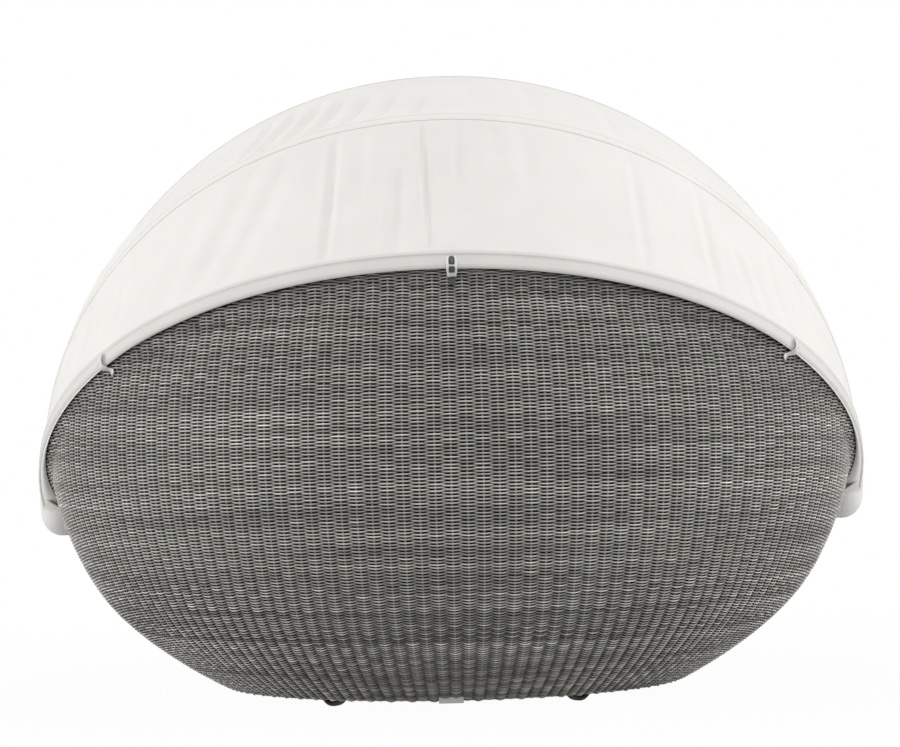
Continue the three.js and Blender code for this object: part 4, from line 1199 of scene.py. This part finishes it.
def mattress():
    turn = ring_turns(MATTRESS_STEPS)
    crown = MATTRESS_CROWN / MATTRESS_THICK
    tops = [(s, 1 + crown * (1 - s**2)) for s in (0.93, 0.86, 0.74, 0.6, 0.42, 0.22, 0.0)]
    rings = []
    for share, rise in [(0.0, 0.0), (0.4, 0.0), (0.7, 0.0), *MATTRESS_SIDE_SHARES, *tops]:
        z = np.full(MATTRESS_STEPS, MATTRESS_BOTTOM + rise * MATTRESS_THICK)
        x = MATTRESS_HALF[0] * share * np.cos(turn)
        rings.append(np.stack([x, MATTRESS_HALF[1] * share * np.sin(turn), z], -1))
    points = to_world(np.array(rings))
    faces = grid_faces(len(rings), MATTRESS_STEPS, False, True)
    low, high = box_of(nodes["seat_mattress"])
    middle = (low + high) / 2
    seams = {word: (MATTRESS_BOTTOM + share * MATTRESS_THICK) * MM for word, share in SEAM_SHARES.items()}

    def fitted(points):
        least, most = points.min(0), points.max(0)
        points = low + (points - least) / (most - least) * (high - low)
        angle = np.arctan2(*((points[:, k] - middle[k]) / MATTRESS_HALF[k] for k in (1, 0)))
        for word, (count, deep) in MATTRESS_RIPPLES.items():
            near = np.exp(-((points[:, 2] - seams[word]) ** 2) / RIPPLE_REACH**2)
            wave = ripples(angle / (2 * np.pi), count) * near * deep * MM
            points[:, 0] += np.cos(angle) * wave
            points[:, 1] += np.sin(angle) * wave
        return points

    made = padded_form("mattress", points, faces, fitted, voxel=0.016, cap=0.012)
    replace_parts(made, "seat_mattress")
    turn = ring_turns(500)
    half_x, half_y = (half * 1.3 for half in MATTRESS_HALF)
    far = to_world(np.stack([half_x * np.cos(turn), half_y * np.sin(turn), 0 * turn], -1))
    for word, z in seams.items():
        far[:, 2] = z
        cord(f"mattress_cord_{word}", made, far, far * [0.2, 0.2, 1], MATTRESS_CORD)


def back_cushion(word, width, height, thick, turn_degrees, lean_degrees):
    side = CUSHION_STEPS + 1
    u = -np.cos(np.pi * np.arange(side) / CUSHION_STEPS)
    u, v = np.meshgrid(u, u, indexing="ij")
    round_off = (1 - np.abs(u) ** 2.4) * (1 - np.abs(v) ** 2.4)
    half = CUSHION_EDGE + (thick * 0.42 - CUSHION_EDGE) * round_off**0.62
    x = width / 2 * u * (1 - CUSHION_WAIST * (1 - v**2))
    z = height / 2 * v * (1 - CUSHION_WAIST * (1 - u**2))
    points = np.concatenate([np.stack([x, y, z], -1) for y in (half, -half)]) * MM
    faces = grid_faces(side, side)
    loop, ahead = border_of(side, side)
    edge = np.stack([loop, ahead, ahead + side**2, loop + side**2], -1)
    faces = np.concatenate([faces, faces[:, ::-1] + side**2, edge])
    name = f"back_cushion_{word}"
    low, high = box_of(nodes[name])
    middle = (low + high) / 2
    turned = Matrix.Rotation(math.radians(turn_degrees), 3, "Z")
    spin = np.array(turned @ Matrix.Rotation(math.radians(-lean_degrees), 3, "X"))
    size = np.array([width, thick, height]) * MM

    def fitted(points):
        local = (points - middle) @ spin
        least, most = local.min(0), local.max(0)
        local = (local - (least + most) / 2) / (most - least) * size
        off_edge = np.minimum(*(size[k] / 2 * SEAM_SHARE - np.abs(local[:, k]) for k in (0, 2)))
        where = np.arctan2(local[:, 2] / size[2], local[:, 0] / size[0]) / (2 * np.pi)
        near = np.exp(-np.maximum(off_edge, 0) / 0.03) * np.clip(off_edge / 0.004, 0, 1)
        count, deep = CUSHION_RIPPLES
        local[:, 1] += np.sign(local[:, 1]) * ripples(where, count) * near * deep * MM
        return local @ spin.T + middle

    points = points @ spin.T + middle
    made = padded_form(f"cushion_{word}", points, faces, fitted, voxel=0.006, cap=0.022)
    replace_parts(made, name)
    turn = ring_turns(400)
    far = np.stack([power(np.cos(turn), 0.42) * width, 0 * turn, power(np.sin(turn), 0.42) * height], -1) * MM
    cord(f"cushion_{word}_cord", made, far @ spin.T + middle, (far * 0.02) @ spin.T + middle, CUSHION_CORD)


mattress()
for word, sizes in BACK_CUSHIONS.items():
    back_cushion(word, *sizes)

# Camera at the photograph's place: behind the daybed, a little above half its height
PHOTO_WIDTH = 900
CAMERA_PLACE = (0, 5.396, 0.5415)
CAMERA_PITCH = math.radians(1.44)
CAMERA_ROLL = math.radians(-1.3)
camera_data = bpy.data.cameras.new("camera")
camera = new_object("camera", camera_data)
camera_data.sensor_width = 36
camera_data.lens = 100.46
camera_data.shift_x = 1 / PHOTO_WIDTH
camera_data.clip_end = 100
turned = Matrix.Rotation(math.pi, 4, "Z") @ Matrix.Rotation(math.pi / 2 + CAMERA_PITCH, 4, "X")
camera.matrix_world = Matrix.Translation(CAMERA_PLACE) @ turned @ Matrix.Rotation(CAMERA_ROLL, 4, "Z")
scene.camera = camera

# Floor, world and lamps
FLOOR_HALF = 30
FLOOR_GREY = 0.64
AMBIENT = 0.64

# The floor glows white for the camera, by this share near the daybed and in full past the far distance
FLOOR_GLOW = 0.97
GLOW_NEAR = 1.0
GLOW_FAR = 2.6


def white_for_camera(made):
    path = node(made, "ShaderNodeLightPath")
    seen = math_node(made, "ADD", path.outputs["Is Camera Ray"], path.outputs["Is Glossy Ray"], True)
    return math_node(made, "ADD", seen, path.outputs["Is Transmission Ray"], True)


def floor():
    made = bpy.data.materials.new("floor")
    made.use_nodes = True
    tree = made.node_tree
    tree.nodes.remove(shader_of(made))
    seen = white_for_camera(made)
    where = node(made, "ShaderNodeTexCoord").outputs["Object"]
    distance = node(made, "ShaderNodeVectorMath", {0: where}, operation="LENGTH").outputs["Value"]
    share = {"Value": distance, 1: GLOW_NEAR, 2: GLOW_FAR, 3: FLOOR_GLOW, 4: 1.0}
    far = node(made, "ShaderNodeMapRange", share).outputs[0]
    lit = node(made, "ShaderNodeBsdfDiffuse", {"Color": (FLOOR_GREY, FLOOR_GREY, FLOOR_GREY, 1)}).outputs[0]
    glow = node(made, "ShaderNodeEmission", {"Color": (1, 1, 1, 1), "Strength": 1.0}).outputs[0]
    mix = node(made, "ShaderNodeMixShader", {0: math_node(made, "MULTIPLY", seen, far), 1: lit, 2: glow})
    tree.links.new(mix.outputs[0], tree.nodes["Material Output"].inputs["Surface"])
    corners = [(x * FLOOR_HALF, y * FLOOR_HALF, 0) for x, y in ((-1, -1), (1, -1), (1, 1), (-1, 1))]
    data = bpy.data.meshes.new("floor")
    data.from_pydata(corners, [], [(0, 1, 2, 3)])
    data.materials.append(made)
    new_object("floor", data)


def sky():
    world = bpy.data.worlds.new("sky")
    scene.world = world
    world.use_nodes = True
    background = world.node_tree.nodes["Background"]
    share = {"Value": white_for_camera(world), 1: 0.0, 2: 1.0, 3: AMBIENT, 4: 1.0}
    strength = node(world, "ShaderNodeMapRange", share).outputs[0]
    world.node_tree.links.new(strength, background.inputs["Strength"])
    background.inputs["Color"].default_value = (1, 1, 1, 1)


def lamp(name, place_at, look_at, size, power_watts):
    data = bpy.data.lights.new(name, "AREA")
    data.shape = "DISK"
    data.size = size
    data.energy = power_watts
    made = new_object(name, data)
    made.location = place_at
    made.rotation_euler = (Vector(look_at) - Vector(place_at)).to_track_quat("-Z", "Y").to_euler()
    made.visible_camera = False


floor()
sky()
lamp("top", (-0.7, 2.3, 4.6), (0, 0.2, 0.8), 2.2, 52)
lamp("side_right", (-4.4, 0.8, 1.3), (0, 0.2, 0.5), 2.4, 52)
lamp("side_left", (4.4, 0.9, 1.3), (0, 0.2, 0.5), 2.4, 60)
scene.view_settings.view_transform = "Standard"

# Materials of the solids that stay visible, and small bevels on their machined edges
NODE_EDGE = 0.6
SHARP = math.radians(40)
LOOKS = {
    "frame": FRAME_PAINT,
    "slat": SLAT_WOOD,
    "bow": BOW_METAL,
    "steel": STEEL,
    "tyre": RUBBER,
    "hub": PLASTIC,
    "canopy_cloth": CANVAS,
    "cushion_cloth": CUSHION,
    "weave": FIBRE,
}
slot_of = {part["node"]: part["material_slot"] for part in frame["record"]["subparts"]}
for name, solid in nodes.items():
    solid.data.materials.clear()
    solid.data.materials.append(LOOKS[slot_of[name]])
    if slot_of[name] in ("bow", "steel", "slat") and not name.startswith("rim_hook"):
        edge = {"width": NODE_EDGE * MM, "segments": 2, "limit_method": "ANGLE", "angle_limit": SHARP}
        modify(solid, "edge", "BEVEL", **edge)
